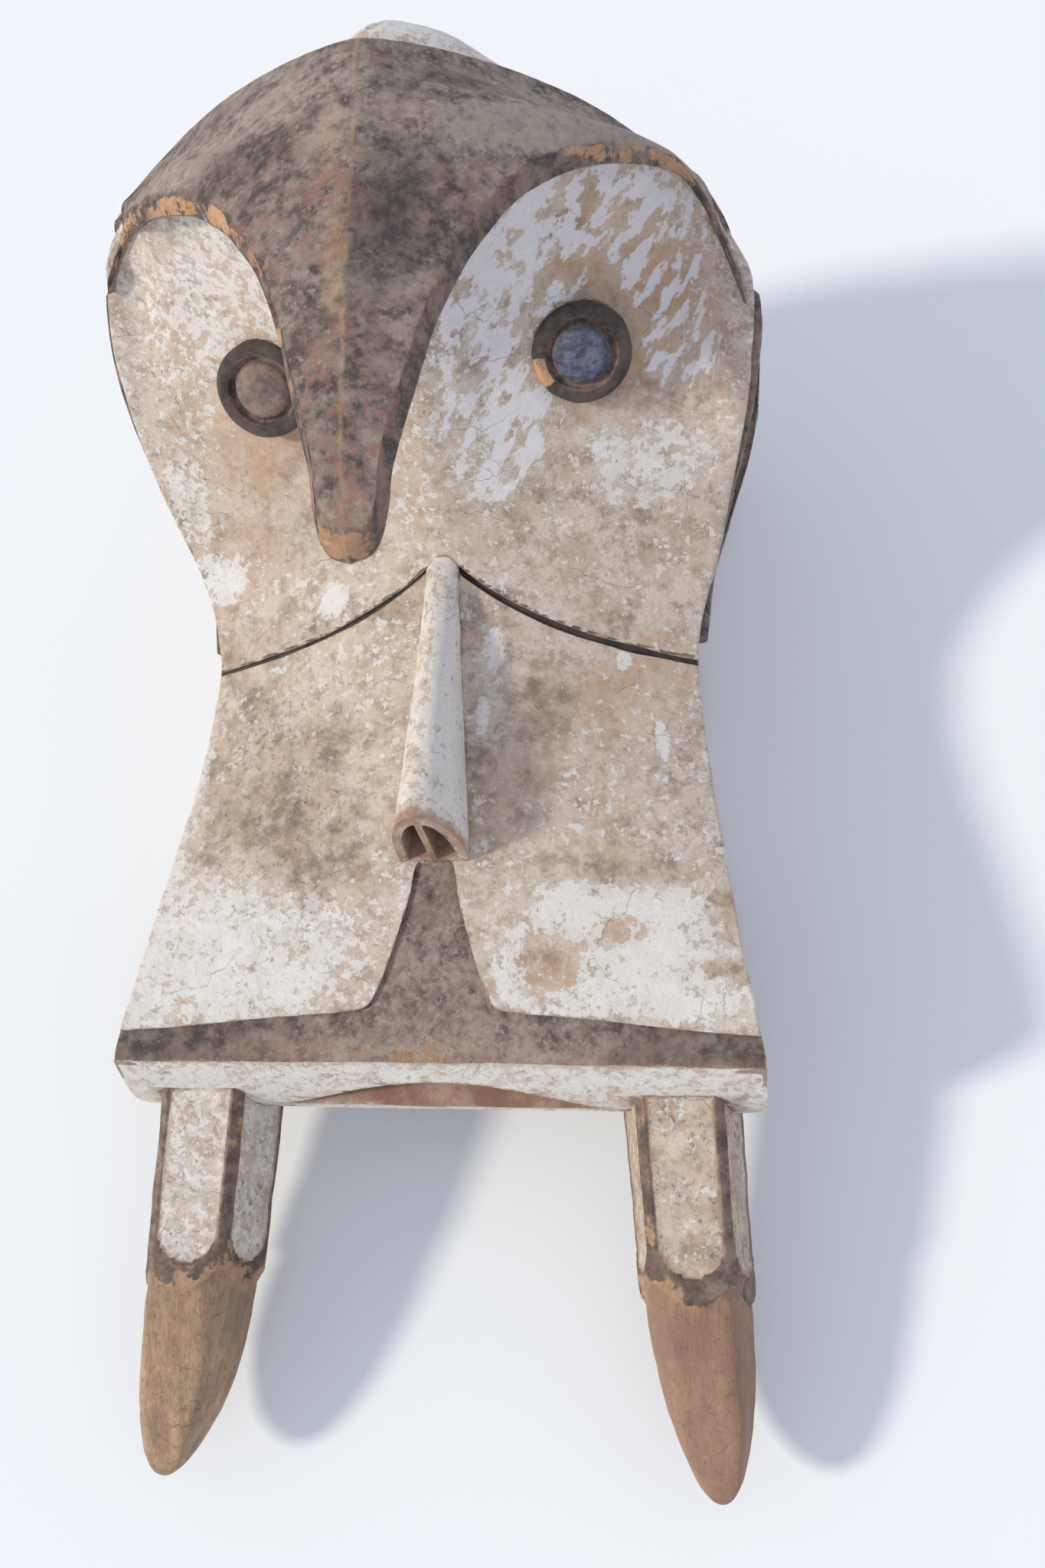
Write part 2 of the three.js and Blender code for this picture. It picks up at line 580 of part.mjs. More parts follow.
// Ear: a scalloped plate with a dished middle, which hangs below the edge of the cheek and follows its wall
function ear(side) {
  const halfLength = (EAR_BACK_U - EAR_FRONT_U) / 2;
  const outline = (scale, relief) => {
    const ring = [];
    for (let i = 0; i <= EAR_SCALLOPS * 3; i += 1) {
      const turn = Math.PI * i / (EAR_SCALLOPS * 3);
      const reach = scale * (i % 3 === 0 ? 1 - SCALLOP_DEPTH : 1);
      const hang = EAR_HANG * (Math.sin(turn) * reach + EAR_INSET * (1 - scale));
      ring.push([EAR_FRONT_U + halfLength * (1 + Math.cos(turn) * reach), hang]);
    }
    for (let i = 1; i < EAR_TOP_STEPS; i += 1) {
      const along = scale * (2 * i / EAR_TOP_STEPS - 1);
      ring.push([EAR_FRONT_U + halfLength * (1 + along), EAR_HANG * EAR_INSET * (1 - scale)]);
    }
    return ring.map(([anchor, hang]) => {
      const u = anchor + hang * Math.cos(EAR_FALL);
      const w = edgeHeight(anchor) - EAR_BELOW_EDGE - hang * Math.sin(EAR_FALL);
      const grown = lerp(EAR_RELIEF_FRONT, EAR_RELIEF_BACK, smoothstep(anchor, EAR_FRONT_U, EAR_BACK_U));
      return place(side * (wallAcross(u, Math.min(w, edgeHeight(u) - WALL_STEP)) + grown + relief), u, w);
    });
  };
  return loft([outline(1, -EAR_ROOT), outline(1, -EAR_LIP), outline(0.97, 0), outline(0.74, 0),
    outline(0.62, -EAR_DISH)]);
}

// Hollow for the wearer's head, open below, with its roof a wall's thickness under the face
function headHollow() {
  const rings = spans([[-1, -0.9, 2], [-0.9, 0.9, 11], [0.9, 1, 2]]).map((along) => {
    const u = HOLLOW_CENTRE_U + HOLLOW_HALF_LENGTH * along;
    const end = Math.abs(along) ** HOLLOW_SQUARENESS;
    const half = HOLLOW_HALF_WIDTH * Math.max(1e-4, 1 - end) ** (1 / HOLLOW_SQUARENESS);
    const ring = [[half, BODY_BOTTOM], [-half, BODY_BOTTOM]];
    for (let i = 0; i <= HOLLOW_POINTS; i += 1) {
      const across = -Math.cos(Math.PI * i / HOLLOW_POINTS);
      const x = half * across;
      const out = Math.min(1, end + Math.abs(x / HOLLOW_HALF_WIDTH) ** HOLLOW_SQUARENESS);
      const dome = lerp(HOLLOW_SPRING, HOLLOW_TOP, (1 - out) ** (1 / HOLLOW_SQUARENESS));
      ring.push([x, Math.min(dome, bodyTop(x, u - WALL_ACROSS) - WALL_DOWN)]);
    }
    return ring.map(([x, w]) => place(x, u, w));
  });
  return loft(rings);
}

// Mouth: a lens between the lips, cut straight back and a little narrower inside
function mouth() {
  const rings = spans([[-40, 0, 1], [0, MOUTH_DEPTH, 3]]).map((u) => {
    const inner = Math.max(u, 0) / MOUTH_DEPTH;
    const half = MOUTH_HALF_WIDTH - MOUTH_NARROWING * inner;
    const ring = [];
    for (let i = 0; i <= 12; i += 1) {
      const x = half * (1 - 2 * i / 12);
      ring.push([x, MOUTH_BOTTOM + 0.6 + (MOUTH_TOP - MOUTH_BOTTOM) * (1 - (x / half) ** 2)]);
    }
    for (let i = 1; i < 6; i += 1) ring.push([-half * (1 - 2 * i / 6), MOUTH_BOTTOM]);
    return ring.map(([x, w]) => place(x, u, w));
  });
  return loft(rings);
}

// Groove across the waist: two sagging lines from the top of the nose to the edges
function groove(side) {
  const rings = spans([[0, 1, 8]]).map((along) => {
    const x = lerp(GROOVE_START_X, WAIST_HALF_WIDTH + 4, along);
    const sag = GROOVE_SAG * Math.sin(Math.PI * along ** GROOVE_SAG_SKEW);
    const u = lerp(GROOVE_START_U, GROOVE_END_U, along) - sag;
    const w = plateHeight(x, u) + rampHeight(x, u);
    const half = GROOVE_WIDTH / 2;
    return [[-half * 1.6, 3], [-half, -GROOVE_DEPTH], [half, -GROOVE_DEPTH], [half * 1.6, 3]]
      .map(([off, up]) => place(side * x, u + off, w + up));
  });
  return loft(rings);
}

// Shallow step for the dark band along the front edge and the tapering field below the nose
function frontStep() {
  const right = STEP_PLAN.slice(1);
  const left = [...right].reverse().map(([x, u]) => [-x, u]);
  return loft([...left, STEP_PLAN[0], ...right].map(([x, edge]) => {
    const [front, back] = [plateHeight(x, 0) - STEP_DEPTH, plateHeight(x, edge) - STEP_DEPTH];
    const above = PLATE_CROWN + 20;
    const section = [[-30, front], [-30, above], [edge, above], [edge, back], [0, front]];
    return section.map(([u, w]) => place(x, u, w));
  }));
}

// Everything below the ground plane, so that the rim is flat
function ground() {
  const block = new THREE.BoxGeometry(800, 1200, 400);
  block.translate(0, 0, -200);
  return toSolid(block);
}

function carve() {
  const back = backOfHead().subtract(spaceOverFace());
  let solid = body().add(back).subtract(frontStep()).add(cap()).add(nose());
  EYES.forEach((placed) => {
    solid = solid.add(eye(placed));
  });
  TUSKS.forEach((placed) => {
    solid = solid.add(tusk(placed)).add(ear(placed.side));
  });
  solid = solid.subtract(headHollow()).subtract(mouth()).subtract(ground());
  [-1, 1].forEach((side) => {
    solid = solid.subtract(nostril(side)).subtract(groove(side));
  });
  return solid;
}

function toGeometry(solid) {
  const mesh = solid.getMesh();
  const geometry = new THREE.BufferGeometry();
  geometry.setAttribute('position', new THREE.Float32BufferAttribute(mesh.vertProperties, 3));
  geometry.setIndex(Array.from(mesh.triVerts));
  geometry.computeVertexNormals();
  return geometry;
}

const paintedWood = new THREE.MeshStandardMaterial({ color: 0xc9baa6, roughness: 0.85, metalness: 0 });
const mask = new THREE.Mesh(toGeometry(carve()), paintedWood);
mask.name = 'mask';

const group = new THREE.Group();
group.add(mask);

export default group;
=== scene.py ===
"""Elephant mask: one block of carved and painted wood that lies on its open rim, on a plain pale floor.

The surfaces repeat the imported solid's form on fine grids and add the hand carving, the chipped brow and the
worn layers of white clay and dark paint. Sizes are in millimetres in the plate's own frame, as in the source
of the solid: x across, u back along the face plate from its front edge, w out of the plate.
"""

import itertools
import logging
import math
from dataclasses import dataclass
from enum import Enum
from typing import Any, Sequence

import bpy
import numpy as np
from mathutils import Matrix, Vector


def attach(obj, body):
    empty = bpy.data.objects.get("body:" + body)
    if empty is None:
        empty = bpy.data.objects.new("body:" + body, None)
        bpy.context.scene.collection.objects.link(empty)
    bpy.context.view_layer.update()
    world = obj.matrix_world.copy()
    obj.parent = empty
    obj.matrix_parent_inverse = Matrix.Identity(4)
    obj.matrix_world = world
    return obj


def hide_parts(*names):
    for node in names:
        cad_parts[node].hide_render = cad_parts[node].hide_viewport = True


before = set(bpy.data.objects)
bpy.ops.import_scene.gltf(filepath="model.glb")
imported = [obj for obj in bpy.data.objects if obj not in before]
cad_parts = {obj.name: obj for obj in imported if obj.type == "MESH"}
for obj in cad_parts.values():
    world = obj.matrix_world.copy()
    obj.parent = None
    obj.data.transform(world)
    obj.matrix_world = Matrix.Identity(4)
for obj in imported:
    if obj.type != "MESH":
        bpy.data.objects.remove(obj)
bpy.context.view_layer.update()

Array = np.ndarray
Socket = bpy.types.NodeSocket
Colour = tuple[float, float, float, float]

MM = 0.001
NODE = "mask"

log = logging.getLogger("elephant_mask")


class Cut(Enum):
    """How one solid meets the block."""

    JOIN = "UNION"
    REMOVE = "DIFFERENCE"


class Layer(Enum):
    """Values that the finish reads at each point of the surface.

    Clay, soot and wear say how far white clay, dark paint or bare wood covers a place: nowhere where they are
    well below 0, everywhere where they are well above it. The others are amounts of a colour or of soiling.
    The shade tint is painted shade, a lavender tint on the white clay where shade falls; the darkening layer
    is soiling in places and painted shade in recesses and under overhangs.
    """

    CLAY = "clay"
    SOOT = "soot"
    WEAR = "wear"
    # painted shade: a lavender tint on the white clay where shade falls, with brush strokes of white clay
    COOL = "cool"
    RUST = "rust"
    # darkening: soiling in places, painted shade in recesses and under overhangs
    GRIME = "grime"
    NAVY = "navy"
    RED = "red"
    FRESH = "fresh"
    BLACK = "black"


COVERS = {Layer.CLAY: 0.3, Layer.SOOT: -1.0, Layer.WEAR: -1.0}
BARE_LAYERS: dict[Layer, float] = dict.fromkeys(Layer, 0.0) | COVERS


def smoothstep(value: Array, start: float, end: float) -> Array:
    """Rise from 0 at start to 1 at end, level at both.

    Args:
        value: numbers to map.
        start: where the rise begins.
        end: where the rise is complete.

    Returns:
        t squared times 3 - 2t, with t the clamped share of the way.
    """
    share = np.clip((value - start) / (end - start), 0, 1)
    return share * share * (3 - 2 * share)


def lerp(start: Array, end: Array, share: Array) -> Array:
    """Straight mix of start and end by share."""
    return start + (end - start) * share


LATTICE = 32
LATTICE_TURN = np.array([[0.36, 0.48, -0.8], [-0.8, 0.6, 0.0], [0.48, 0.64, 0.6]])


def mottle(points: Array, size: float, seed: int) -> Array:
    """Smooth random values with blotches of one size, the same on each run.

    Random values on a turned cubic lattice are mixed between the eight corners of each point's cell.

    Args:
        points: places in millimetres, with x, y and z last.
        size: width of a blotch in millimetres.
        seed: number that picks the pattern.

    Returns:
        One value from -1 to 1 at each place.
    """
    lattice = np.random.default_rng(seed).uniform(-1, 1, (LATTICE, LATTICE, LATTICE))
    place = points @ LATTICE_TURN / size
    cell = np.floor(place).astype(int)
    part = smoothstep(place - cell, 0, 1)
    total = np.zeros(points.shape[:-1])
    for corner in itertools.product((0, 1), repeat=3):
        weight = np.prod(np.where(corner, part, 1 - part), axis=-1)
        index = (cell + corner) % LATTICE
        total += weight * lattice[index[..., 0], index[..., 1], index[..., 2]]
    return total


@dataclass(frozen=True)
class SmoothPath:
    """Centripetal Catmull-Rom curve through a few points, read by its length."""

    points: tuple[tuple[float, ...], ...]
    steps: int = 40

    def at(self, share: Array) -> Array:
        """Places along the curve.

        Each span is the cubic whose end tangents come from the neighbours, weighted by the square root of
        the distances; the spans are sampled and the samples are read by their distance along the curve.

        Args:
            share: parts of the whole length, from 0 to 1.

        Returns:
            One point for each share.
        """
        own = np.array(self.points, dtype=float)
        first = 2 * own[0] - own[1]
        last = 2 * own[-1] - own[-2]
        knots = np.vstack([first, own, last])
        gap = np.sqrt(np.linalg.norm(np.diff(knots, axis=0), axis=1))
        t = np.linspace(0, 1, self.steps, endpoint=False)[:, None]
        samples = []
        for k in range(len(own) - 1):
            p0, p1, p2, p3 = knots[k:k + 4]
            g0, g1, g2 = gap[k:k + 3]
            m1 = ((p1 - p0) / g0 - (p2 - p0) / (g0 + g1) + (p2 - p1) / g1) * g1
            m2 = ((p2 - p1) / g1 - (p3 - p1) / (g1 + g2) + (p3 - p2) / g2) * g1
            cubic = 2 * p1 - 2 * p2 + m1 + m2
            square = -3 * p1 + 3 * p2 - 2 * m1 - m2
            samples.append(((cubic * t + square) * t + m1) * t + p1)
        line = np.vstack([*samples, own[-1:]])
        length = np.concatenate([[0], np.cumsum(np.linalg.norm(np.diff(line, axis=0), axis=1))])
        wanted = np.asarray(share) * length[-1]
        return np.stack([np.interp(wanted, length, column) for column in line.T], axis=-1)


@dataclass(frozen=True)
class MaskForm:
    """Sizes of the carved form, and the heights and walls that follow from them."""

    slope: float = math.radians(6)
    front_height: float = 104
    footprint_middle: float = 116
    footprint_aside: float = 3
    brow_skew: float = 4
    brow_skew_start: float = 225
    crown_lean: float = 4
    cheek_lean_x: float = 50
    cheek_lean_start: float = 200
    cheek_lean_end: float = 267
    brow_ease: float = 0.6
    arch_skew: float = 7
    arch_rise: float = 16
    arch_start_u: float = 235
    arch_top_u: float = 300
    arch_end_u: float = 338
    arch_rise_out: tuple[float, float] = (20, 100)
    arch_fall_out: float = 112
    arch_inner_out: tuple[float, float] = (16, 27)
    arch_outer_out: tuple[float, float] = (102, 118)
    arch_corner_out: tuple[float, float] = (112, 126)
    snout_half: float = 132.5
    snout_flare: float = 1.3
    waist_u: float = 170
    waist_half: float = 106
    cheek_u: float = 288
    cheek_half: float = 134
    back_start_u: float = 302
    back_u: float = 390
    plate_crown: float = 3
    plate_curve: float = 1.6
    edge_sag: float = 25
    sag_length: float = 340
    end_height: float = 42
    corner_radius: float = 6
    corner_ease: float = 0.9
    lip_protrusion: float = 16
    lip_reach: float = 70
    throat_start_u: float = 66
    throat_end_u: float = 132
    body_bottom: float = -190
    side_taper: float = 0.1
    wall_recess: float = 7
    wall_step: float = 16
    wall_blend: float = 60
    taper_start: float = -20
    taper_length: float = 150
    ramp_start_u: float = 227
    ramp_slope_centre: float = 2.2
    ramp_slope_eye: float = 1.25
    ramp_slope_edge: float = 0.9
    ramp_softness: float = 16
    keel_power: float = 1.5
    eye_x: float = 66
    cove_depth: float = 27
    cove_power: float = 2.5
    root_power: float = 0.8
    root_centre_u: float = 280
    root_arch_u: float = 303
    root_corner_u: float = 306
    arch_x: float = 84
    brow_x: float = 130
    brow_drop: float = 84
    brow_crease: float = 6
    brow_drop_power: float = 1.75
    crown_drop_power: float = 1.35
    crown_apex_u: float = 341
    crown_sweep: float = 36
    crown_sweep_power: float = 5
    crown_skew: float = 6
    ridge_top: float = 174
    ridge_top_u: float = 240
    ridge_fall_front: float = 11
    beak_length: float = 83
    beak_fall_end: float = 1.2
    ridge_fall_back: float = 14
    ridge_back_power: float = 2.5
    rim_height: float = 8
    groove_start: tuple[float, float] = (7, 204)
    groove_end: float = 110
    groove_sag: float = 9
    groove_sag_skew: float = 0.8
    cap_start_u: float = 310
    cap_overlap: float = 2
    under_cap_u: float = 316

    def half_width(self, u: Array) -> Array:
        """Half width of the plate: the snout flares to the front, and the cheeks swell behind the waist.

        Args:
            u: places along.

        Returns:
            The half width at each place.
        """
        front = np.clip(u, 0, self.waist_u)
        flare = (1 - front / self.waist_u) ** self.snout_flare
        corner = self.corner_ease * np.maximum(0, 1 - front / self.corner_radius) ** 2
        snout = self.waist_half + (self.snout_half - self.waist_half) * flare - corner
        cheek = lerp(self.waist_half, self.cheek_half, smoothstep(u, self.waist_u, self.cheek_u))
        back = np.clip((u - self.cheek_u) / (self.back_u - self.cheek_u), 0, 1)
        behind = self.cheek_half * np.sqrt(1 - back ** 2)
        return np.where(u < self.waist_u, snout, np.where(u < self.cheek_u, cheek, behind))

    def ridge_height(self, u: Array) -> Array:
        """Height of the median ridge: it falls to the crown and the beak's tip, and is level past the tip.

        Args:
            u: places along.

        Returns:
            The height at each place.
        """
        behind = np.maximum(0, u - self.ridge_top_u) / (self.crown_apex_u - self.ridge_top_u)
        forward = np.minimum((self.ridge_top_u - u) / self.beak_length, self.beak_fall_end)
        front = self.ridge_top - self.ridge_fall_front * forward ** 2
        back = self.ridge_top - self.ridge_fall_back * behind ** self.ridge_back_power
        return np.where(u < self.ridge_top_u, front, back)

    def crown_edge(self, x: Array) -> Array:
        """Back edge of the forehead, as a place along the plate, a little fuller on the right."""
        sweep = self.crown_sweep * np.minimum(1, np.abs(x) / self.brow_x) ** self.crown_sweep_power
        return self.crown_apex_u - sweep + self.crown_skew * np.sin(np.pi * np.clip(x / self.brow_x, 0, 1))

    def forehead_top(self, x: Array, u: Array) -> Array:
        """Top of the forehead: a long ridge with a slight crease that falls to both brow corners.

        Args:
            x: places across.
            u: places along.

        Returns:
            The height at each place.
        """
        across = np.abs(x) / self.brow_x
        share = np.clip((u - self.root_arch_u) / self.crown_sweep, 0, 1)
        power = lerp(self.brow_drop_power, self.crown_drop_power, share)
        return self.ridge_height(u) - self.brow_drop * across ** power - self.brow_crease * across

    def cove_root(self, x: Array) -> Array:
        """Where the cove meets the forehead: further forward at the keel than above the eyes.

        Args:
            x: places across.

        Returns:
            The place along the plate, for each place across.
        """
        across = np.abs(x)
        share = (np.minimum(across, self.arch_x) / self.arch_x) ** self.root_power
        inner = lerp(self.root_centre_u, self.root_arch_u, share)
        beyond = (across - self.arch_x) / (self.brow_x - self.arch_x)
        outer = lerp(self.root_arch_u, self.root_corner_u, beyond)
        return np.where(across < self.arch_x, inner, outer)

    def plate_height(self, x: Array, u: Array) -> Array:
        """Height of the plate, which is crowned in the middle and sags to both edges.

        Args:
            x: places across.
            u: places along.

        Returns:
            The height at each place.
        """
        sag = self.edge_sag * np.sin(np.pi * np.clip(u / self.sag_length, 0, 1)) ** 2
        across = np.minimum(1, np.abs(x) / self.half_width(np.minimum(u, self.cheek_u)))
        return self.plate_crown - (self.plate_crown + sag) * across ** self.plate_curve

    def ramp_height(self, x: Array, u: Array) -> Array:
        """Climb of the upper face from the groove, steepest at the keel in the middle.

        Args:
            x: places across.
            u: places along.

        Returns:
            How much the ramp adds to the plate's height.
        """
        across = np.abs(x)
        keel = np.maximum(0, 1 - across / self.eye_x) ** self.keel_power
        beside = np.clip((across - self.eye_x) / (self.cheek_half - self.eye_x), 0, 1)
        slope = lerp(lerp(self.ramp_slope_eye, self.ramp_slope_edge, beside), self.ramp_slope_centre, keel)
        beyond = u - self.ramp_start_u
        return slope * 0.5 * (beyond + np.hypot(beyond, self.ramp_softness))

    def face_height(self, x: Array, u: Array) -> Array:
        """Plate, ramp and cove together: the cove climbs from the ramp to the underside of the brow.

        Args:
            x: places across.
            u: places along.

        Returns:
            The height at each place.
        """
        root = self.cove_root(x)
        climb = (self.forehead_top(x, root) - self.rim_height - self.plate_height(x, root)
                 - self.ramp_height(x, root))
        share = np.maximum(0, 1 - (root - u) / self.cove_depth) ** self.cove_power
        return self.plate_height(x, u) + self.ramp_height(x, u) + climb * share

    def body_top(self, x: Array, u: Array) -> Array:
        """Upper surface of the body: the face, and then under the forehead."""
        return np.minimum(self.face_height(x, u), self.forehead_top(x, u) - self.rim_height)

    def edge_height(self, u: Array) -> Array:
        """Height of the upper edge of the side wall."""
        return self.body_top(self.half_width(u), u)

    def groove_line(self, out: Array) -> Array:
        """Where the sagging groove across the waist lies, at each distance from the middle.

        Args:
            out: distances from the middle.

        Returns:
            The place along the plate at each distance.
        """
        start_x, start_u = self.groove_start
        share = np.clip((out - start_x) / (self.groove_end - start_x), 0, 1)
        sag = self.groove_sag * np.sin(np.pi * share ** self.groove_sag_skew)
        return lerp(start_u, self.waist_u, share) - sag

    def wall_across(self, u: Array, w: Array) -> Array:
        """How far out a side wall is: it steps back under the cheek and comes in a little towards the rim.

        Args:
            u: places along.
            w: heights over the plate.

        Returns:
            The distance from the middle.
        """
        below = smoothstep(self.edge_height(u) - w, 1, self.wall_step)
        back = self.wall_recess * below * smoothstep(u, self.waist_u, self.waist_u + self.wall_blend)
        down = np.clip((self.taper_start - w) / self.taper_length, 0, 1)
        behind = smoothstep(u, self.waist_u - self.wall_blend, self.waist_u + self.wall_blend)
        taper = self.side_taper * down * behind
        return (self.half_width(u) - back) * (1 - taper)

    def bottom_height(self, u: Array) -> Array:
        """Underside: the snout is shallow, and behind the throat the body reaches the ground."""
        return lerp(-self.end_height, self.body_bottom, smoothstep(u, self.throat_start_u, self.throat_end_u))

    def lean_out(self, u: Array, w: Array) -> Array:
        """How far the end face leans out towards the lower lip."""
        down = np.sin(0.5 * np.pi * np.clip(-w / self.end_height, 0, 1))
        return self.lip_protrusion * down * np.maximum(0, 1 - u / self.lip_reach)

    def section_half(self, u: Array) -> Array:
        """Half width of a section of the body: behind the face it stays under the forehead.

        Args:
            u: places along.

        Returns:
            The half width at each place.
        """
        left = np.clip((self.crown_apex_u - np.maximum(u, self.under_cap_u)) / self.crown_sweep, 0, 1)
        under = self.brow_x * left ** (1 / self.crown_sweep_power) - self.cap_overlap
        share = np.clip((u - self.cap_start_u) / (self.under_cap_u - self.cap_start_u), 0, 1)
        return lerp(self.half_width(np.minimum(u, self.cap_start_u)), under, share)

    def section_top(self, x: Array, u: Array) -> Array:
        """Upper surface of the body, which runs on within the forehead."""
        share = np.clip((u - self.cap_start_u) / (self.under_cap_u - self.cap_start_u), 0, 1)
        return self.body_top(x, u) + self.cap_overlap * share

    def arch_shift(self, x: Array, u: Array) -> Array:
        """How far the arches above the eyes are drawn back, the right one more than the left one.

        Args:
            x: places across.
            u: places along.

        Returns:
            The shift in millimetres.
        """
        out = np.abs(x)
        fall = 1 - smoothstep(out, self.arch_fall_out, self.cheek_half)
        rise = self.arch_rise * smoothstep(out, *self.arch_rise_out) * fall
        inner = smoothstep(out, *self.arch_inner_out) * (1 - smoothstep(out, *self.arch_outer_out))
        skew = self.arch_skew * np.sign(x) * (inner - smoothstep(out, *self.arch_corner_out))
        share = smoothstep(u, self.arch_start_u, self.arch_top_u)
        return (rise + skew) * share * (1 - smoothstep(u, self.arch_top_u, self.arch_end_u))

    def place(self, x: Array, u: Array, w: Array) -> Array:
        """From the plate frame to the object's frame, both in millimetres.

        The left brow lies further back than the right one, the left arch above its eye lower, and the cheeks
        and the crown lean a little, as the hand carving left them.

        Args:
            x: across.
            u: back along the plate.
            w: out of the plate.

        Returns:
            Points with x, y and z last.
        """
        x, u, w = np.broadcast_arrays(x, u, w)
        sin, cos = math.sin(self.slope), math.cos(self.slope)
        eased = 1 - self.brow_ease * smoothstep(u, self.root_centre_u, self.root_corner_u)
        cheek = eased * smoothstep(np.abs(x), self.cheek_lean_x, self.brow_x)
        cheek = cheek * smoothstep(u, self.cheek_lean_start, self.cheek_lean_end)
        lean = self.crown_lean * np.maximum(cheek, smoothstep(u, self.root_centre_u, self.crown_apex_u))
        skew = self.brow_skew * (x / self.brow_x) * smoothstep(u, self.brow_skew_start, self.root_corner_u)
        along = u - skew + self.arch_shift(x, u)
        back = along * cos - w * sin - self.footprint_middle
        up = self.front_height + along * sin + w * cos
        return np.stack([x - lean + self.footprint_aside, back, up], axis=-1)


FORM = MaskForm()


class Shell:
    """Closed surface through rings of points, with the finish's values at each point."""

    def __init__(self, rings: Array, layers: dict[Layer, Array | float] | None = None) -> None:
        """Keep the rings and fill in the layers that are not given.

        Args:
            rings: points in millimetres, ring by ring, each ring closed on itself.
            layers: values at each point for some of the layers.
        """
        self.rings = rings
        given = layers or {}
        shape = rings.shape[:2]
        self.layers = {layer: np.broadcast_to(given.get(layer, value), shape).astype(np.float32)
                       for layer, value in BARE_LAYERS.items()}

    def normals(self) -> Array:
        """Unit normals from the cross product of the grid's two directions, pointing outwards.

        Returns:
            One unit vector for each point.
        """
        along = np.gradient(self.rings, axis=0)
        around = np.roll(self.rings, -1, axis=1) - np.roll(self.rings, 1, axis=1)
        normal = np.cross(around, along)
        length = np.linalg.norm(normal, axis=-1, keepdims=True)
        unit = normal / np.maximum(length, 1e-9)
        return unit if self.volume() > 0 else -unit

    def volume(self) -> float:
        """Signed volume from the grid's quads seen from the first point, positive if they face outwards.

        Returns:
            Six times the volume in cubic millimetres, near enough to give its sign.
        """
        p = self.rings - self.rings[0, 0]
        q = np.roll(p, -1, axis=1)
        a, b, c, d = p[:-1], q[:-1], q[1:], p[1:]
        return float(np.sum(np.cross(a, b) * c) + np.sum(np.cross(a, c) * d))

    def sunk(self, depth: Array) -> "Shell":
        """The same shell with each point moved inwards by depth millimetres."""
        self.rings = self.rings - self.normals() * np.asarray(depth)[..., None]
        return self

    def hand_cut(self, depth: float, size: float, seed: int) -> "Shell":
        """Shallow uneven hollows left by the knife, never above the true surface.

        Args:
            depth: deepest hollow in millimetres.
            size: width of a hollow in millimetres.
            seed: number that picks the pattern.

        Returns:
            The shell itself.
        """
        broad = mottle(self.rings, size, seed)
        fine = mottle(self.rings, size / 3, seed + 1)
        return self.sunk(depth * (0.5 - 0.35 * broad - 0.15 * fine))

    def build(self, name: str, material: bpy.types.Material) -> bpy.types.Object:
        """Make the mesh: quads between neighbouring rings and a fan over each end.

        Args:
            name: name of the object.
            material: finish of all its faces.

        Returns:
            The new object, in metres, with one point attribute for each layer.
        """
        count, around = self.rings.shape[:2]
        index = np.arange(count * around).reshape(count, around)
        a, b = index[:-1], np.roll(index, -1, axis=1)[:-1]
        c, d = np.roll(index, -1, axis=1)[1:], index[1:]
        quads = np.stack([a, b, c, d], axis=-1).reshape(-1, 4)
        start, end = count * around, count * around + 1
        first = np.stack([np.full(around, start), np.roll(index[0], -1), index[0]], axis=-1)
        last = np.stack([np.full(around, end), index[-1], np.roll(index[-1], -1)], axis=-1)
        if self.volume() < 0:
            quads, first, last = quads[:, ::-1], first[:, ::-1], last[:, ::-1]
        middles = np.stack([self.rings[0].mean(axis=0), self.rings[-1].mean(axis=0)])
        points = np.vstack([self.rings.reshape(-1, 3), middles]) * MM
        mesh = bpy.data.meshes.new(name)
        mesh.from_pydata(points.tolist(), [], quads.tolist() + first.tolist() + last.tolist())
        for layer, values in self.layers.items():
            ends = np.array([values[0].mean(), values[-1].mean()])
            data = np.concatenate([values.ravel(), ends]).astype(np.float32)
            mesh.attributes.new(layer.value, "FLOAT", "POINT").data.foreach_set("value", data)
        mesh.materials.append(material)
        made = bpy.data.objects.new(name, mesh)
        bpy.context.scene.collection.objects.link(made)
        return made


@dataclass(frozen=True)
class Daub:
    """One patch of a layer: an ellipse that fades out, in the plate's frame, turned by some degrees."""

    x: float
    u: float
    across: float
    along: float
    strength: float
    turn: float = 0

    FADE = 0.6

    def cover(self, x: Array, u: Array) -> Array:
        """Strength at each place, full in the middle and gone at the ellipse's edge.

        Args:
            x: places across.
            u: places along.

        Returns:
            The strength at each place.
        """
        cos, sin = math.cos(math.radians(self.turn)), math.sin(math.radians(self.turn))
        dx, du = x - self.x, u - self.u
        right = (dx * cos + du * sin) / self.across
        back = (du * cos - dx * sin) / self.along
        return self.strength * smoothstep(1 - np.hypot(right, back), 0, self.FADE)


Daubs = dict[Layer, tuple[Daub, ...]]


def laid(daubs: Daubs, layer: Layer, x: Array, u: Array) -> Array:
    """Sum of the daubs of one layer at each place."""
    return sum((daub.cover(x, u) for daub in daubs.get(layer, ())), np.zeros(np.shape(x)))


def rounded(start: Sequence[Array], corner: Sequence[Array], end: Sequence[Array],
            steps: int) -> list[list[Array]]:
    """Points of a corner's rounding, from start to end with the corner as the control point.

    Args:
        start: x and w where the rounding begins.
        corner: x and w of the sharp corner.
        end: x and w where it ends.
        steps: number of points between start and end.

    Returns:
        Pairs of x and w on the quadratic Bezier, without its two ends.
    """
    line = []
    for step in range(1, steps + 1):
        t = step / (steps + 1)
        weights = ((1 - t) ** 2, 2 * t * (1 - t), t ** 2)
        line.append([weights[0] * start[k] + weights[1] * corner[k] + weights[2] * end[k] for k in (0, 1)])
    return line


STEP_PLAN = SmoothPath(((0, 84), (7, 80), (10, 66), (16, 45), (22, 28), (26, 22), (34, 20), (52, 18.5),
                        (70, 17), (100, 14), (128, 12), (140, 12)))


